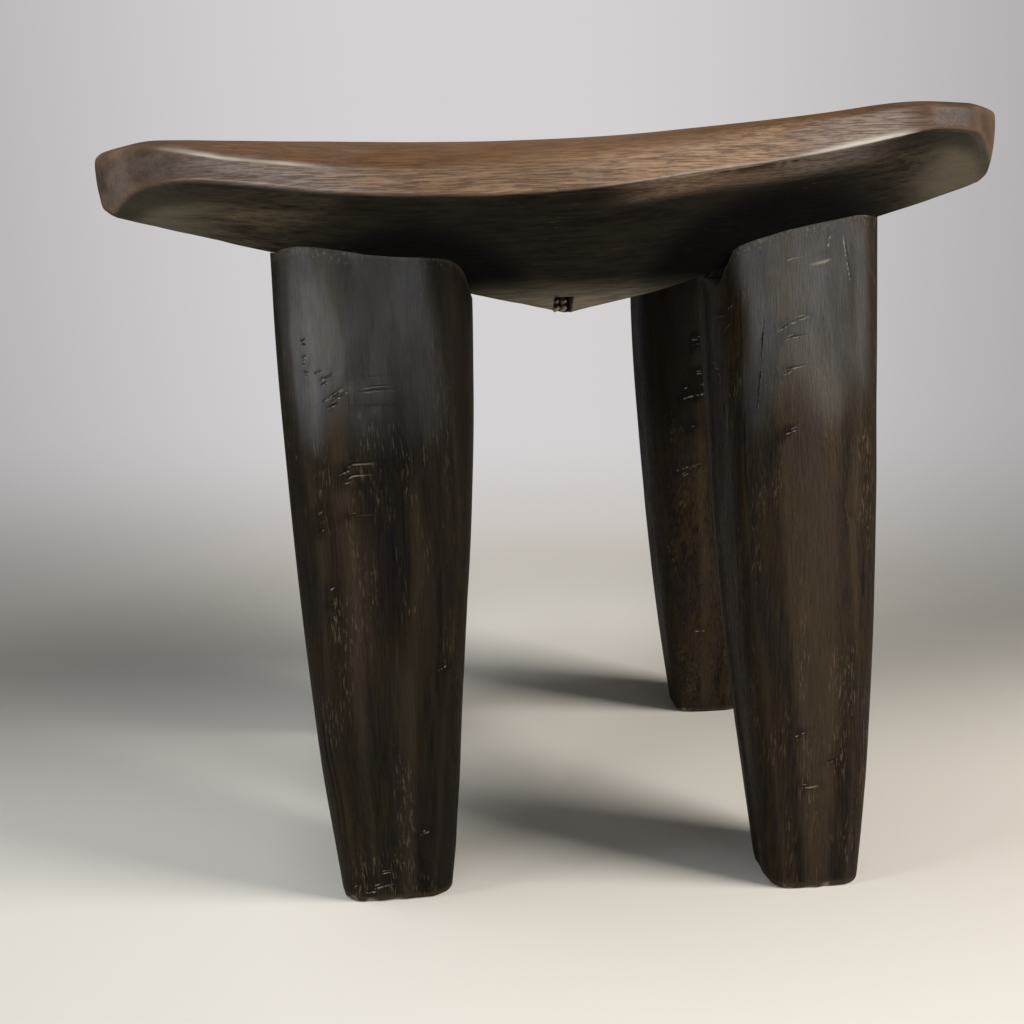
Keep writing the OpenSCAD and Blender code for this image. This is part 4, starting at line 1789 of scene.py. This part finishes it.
def paint_stage():
    material = bpy.data.materials.new("studio_paper")
    material.use_nodes = True
    tree = material.node_tree
    shader = tree.nodes["Principled BSDF"]
    x, y, z = split(signal("ShaderNodeTexCoord", {}, "Object", tree))
    flat = calc("SQRT", x * x + y * y)
    way = flat + z
    back = calc("MINIMUM", y, 1.0)
    lean = back * between(0.16, 0.06, back)
    aside = abs(x - lean) / calc("MAXIMUM", flat, 0.01)
    shade = between(1.0, remap(aside, 0.1, 1.0, 1.0, SIDE_SHADE), remap(y, -0.05, 0.3))
    shade = combine(shade, shade, shade)
    far = mix(1.0, mix(remap(way, 0.35, 1.5), WARM_GREY, PALE_GREY), shade, "MULTIPLY")
    near = mix(remap(x, -0.1, 0.35), FLOOR_TONE, FLOOR_RIGHT, "MULTIPLY")
    near = mix(1.0, near, shade, "MULTIPLY")
    fill(shader, {"Base Color": near, "Roughness": 0.9, "Specular IOR Level": 0.1})
    glow = signal("ShaderNodeEmission", {"Color": far, "Strength": 1.0})
    camera_ray, glossy_ray = (
        signal("ShaderNodeLightPath", {}, ray, tree) for ray in ("Is Camera Ray", "Is Glossy Ray")
    )
    share = remap(way, 0.3, 0.75) * calc("MAXIMUM", camera_ray, glossy_ray * 0.4)
    both = signal("ShaderNodeMixShader", {0: share, 1: Signal(shader.outputs[0]), 2: glow})
    fill(tree.nodes["Material Output"], {"Surface": both})
    return material


paper = paint_stage()
for name, first, last in (("studio_floor", 0, 4), ("studio_backdrop", 4, 18)):
    sheet = bpy.data.objects.new(name, stage_mesh(name, first, last))
    sheet.data.materials.append(paper)
    sheet.visible_shadow = name == "studio_floor"
    bpy.context.collection.objects.link(sheet)
print("Stage radius in m:", STAGE_R)

# %% [markdown]
# ## Light
# The key light stands at the right, a little in front and higher than the seat, and throws the feet's
# long soft shadows back to the left. Two broad cool lamps stand low in front and give the grey sheen on
# the dark legs. A small low one at the front left lights the legs' left sides, and one over the stool's
# left lights the top and the band. The room adds a little even light.

# %% Lamps and world
# Each lamp's place, size, power and colour
LAMPS = {
    "key": ((0.92, -0.44, 0.78), 0.42, 15.6, (1, 0.96, 0.9)),
    "side": ((-0.79, -0.94, 0.17), 0.35, 2.6, (0.84, 0.91, 1)),
    "front_left": ((-0.45, -1.6, 0.18), 0.6, 4.2, (0.9, 0.95, 1)),
    "front_right": ((0.85, -1.45, 0.2), 0.6, 4.2, (0.92, 0.96, 1)),
    "top": ((-0.5, -0.1, 1.15), 0.4, 6.8, (0.95, 0.98, 1)),
}
ROOM = 0.024
ROOM_COLOUR = (0.96, 0.97, 1, 1)

middle = Vector((0, 0, frame_hi.z / 2))
for name, (place, size, power, colour) in LAMPS.items():
    data = bpy.data.lights.new(name, "AREA")
    data.size = size
    data.energy = power
    data.color = colour
    lamp = bpy.data.objects.new(name, data)
    towards = (Vector(place) - middle).to_track_quat("Z", "Y").to_matrix().to_4x4()
    lamp.matrix_world = Matrix.Translation(place) @ towards
    lamp.visible_camera = False
    bpy.context.collection.objects.link(lamp)

world = bpy.data.worlds.new("room")
bpy.context.scene.world = world
world.use_nodes = True
room = world.node_tree
room.nodes["Background"].inputs["Color"].default_value = ROOM_COLOUR
room.nodes["Background"].inputs["Strength"].default_value = ROOM

bpy.context.scene.view_settings.view_transform = "Standard"
print("Lamps:", ", ".join(LAMPS))
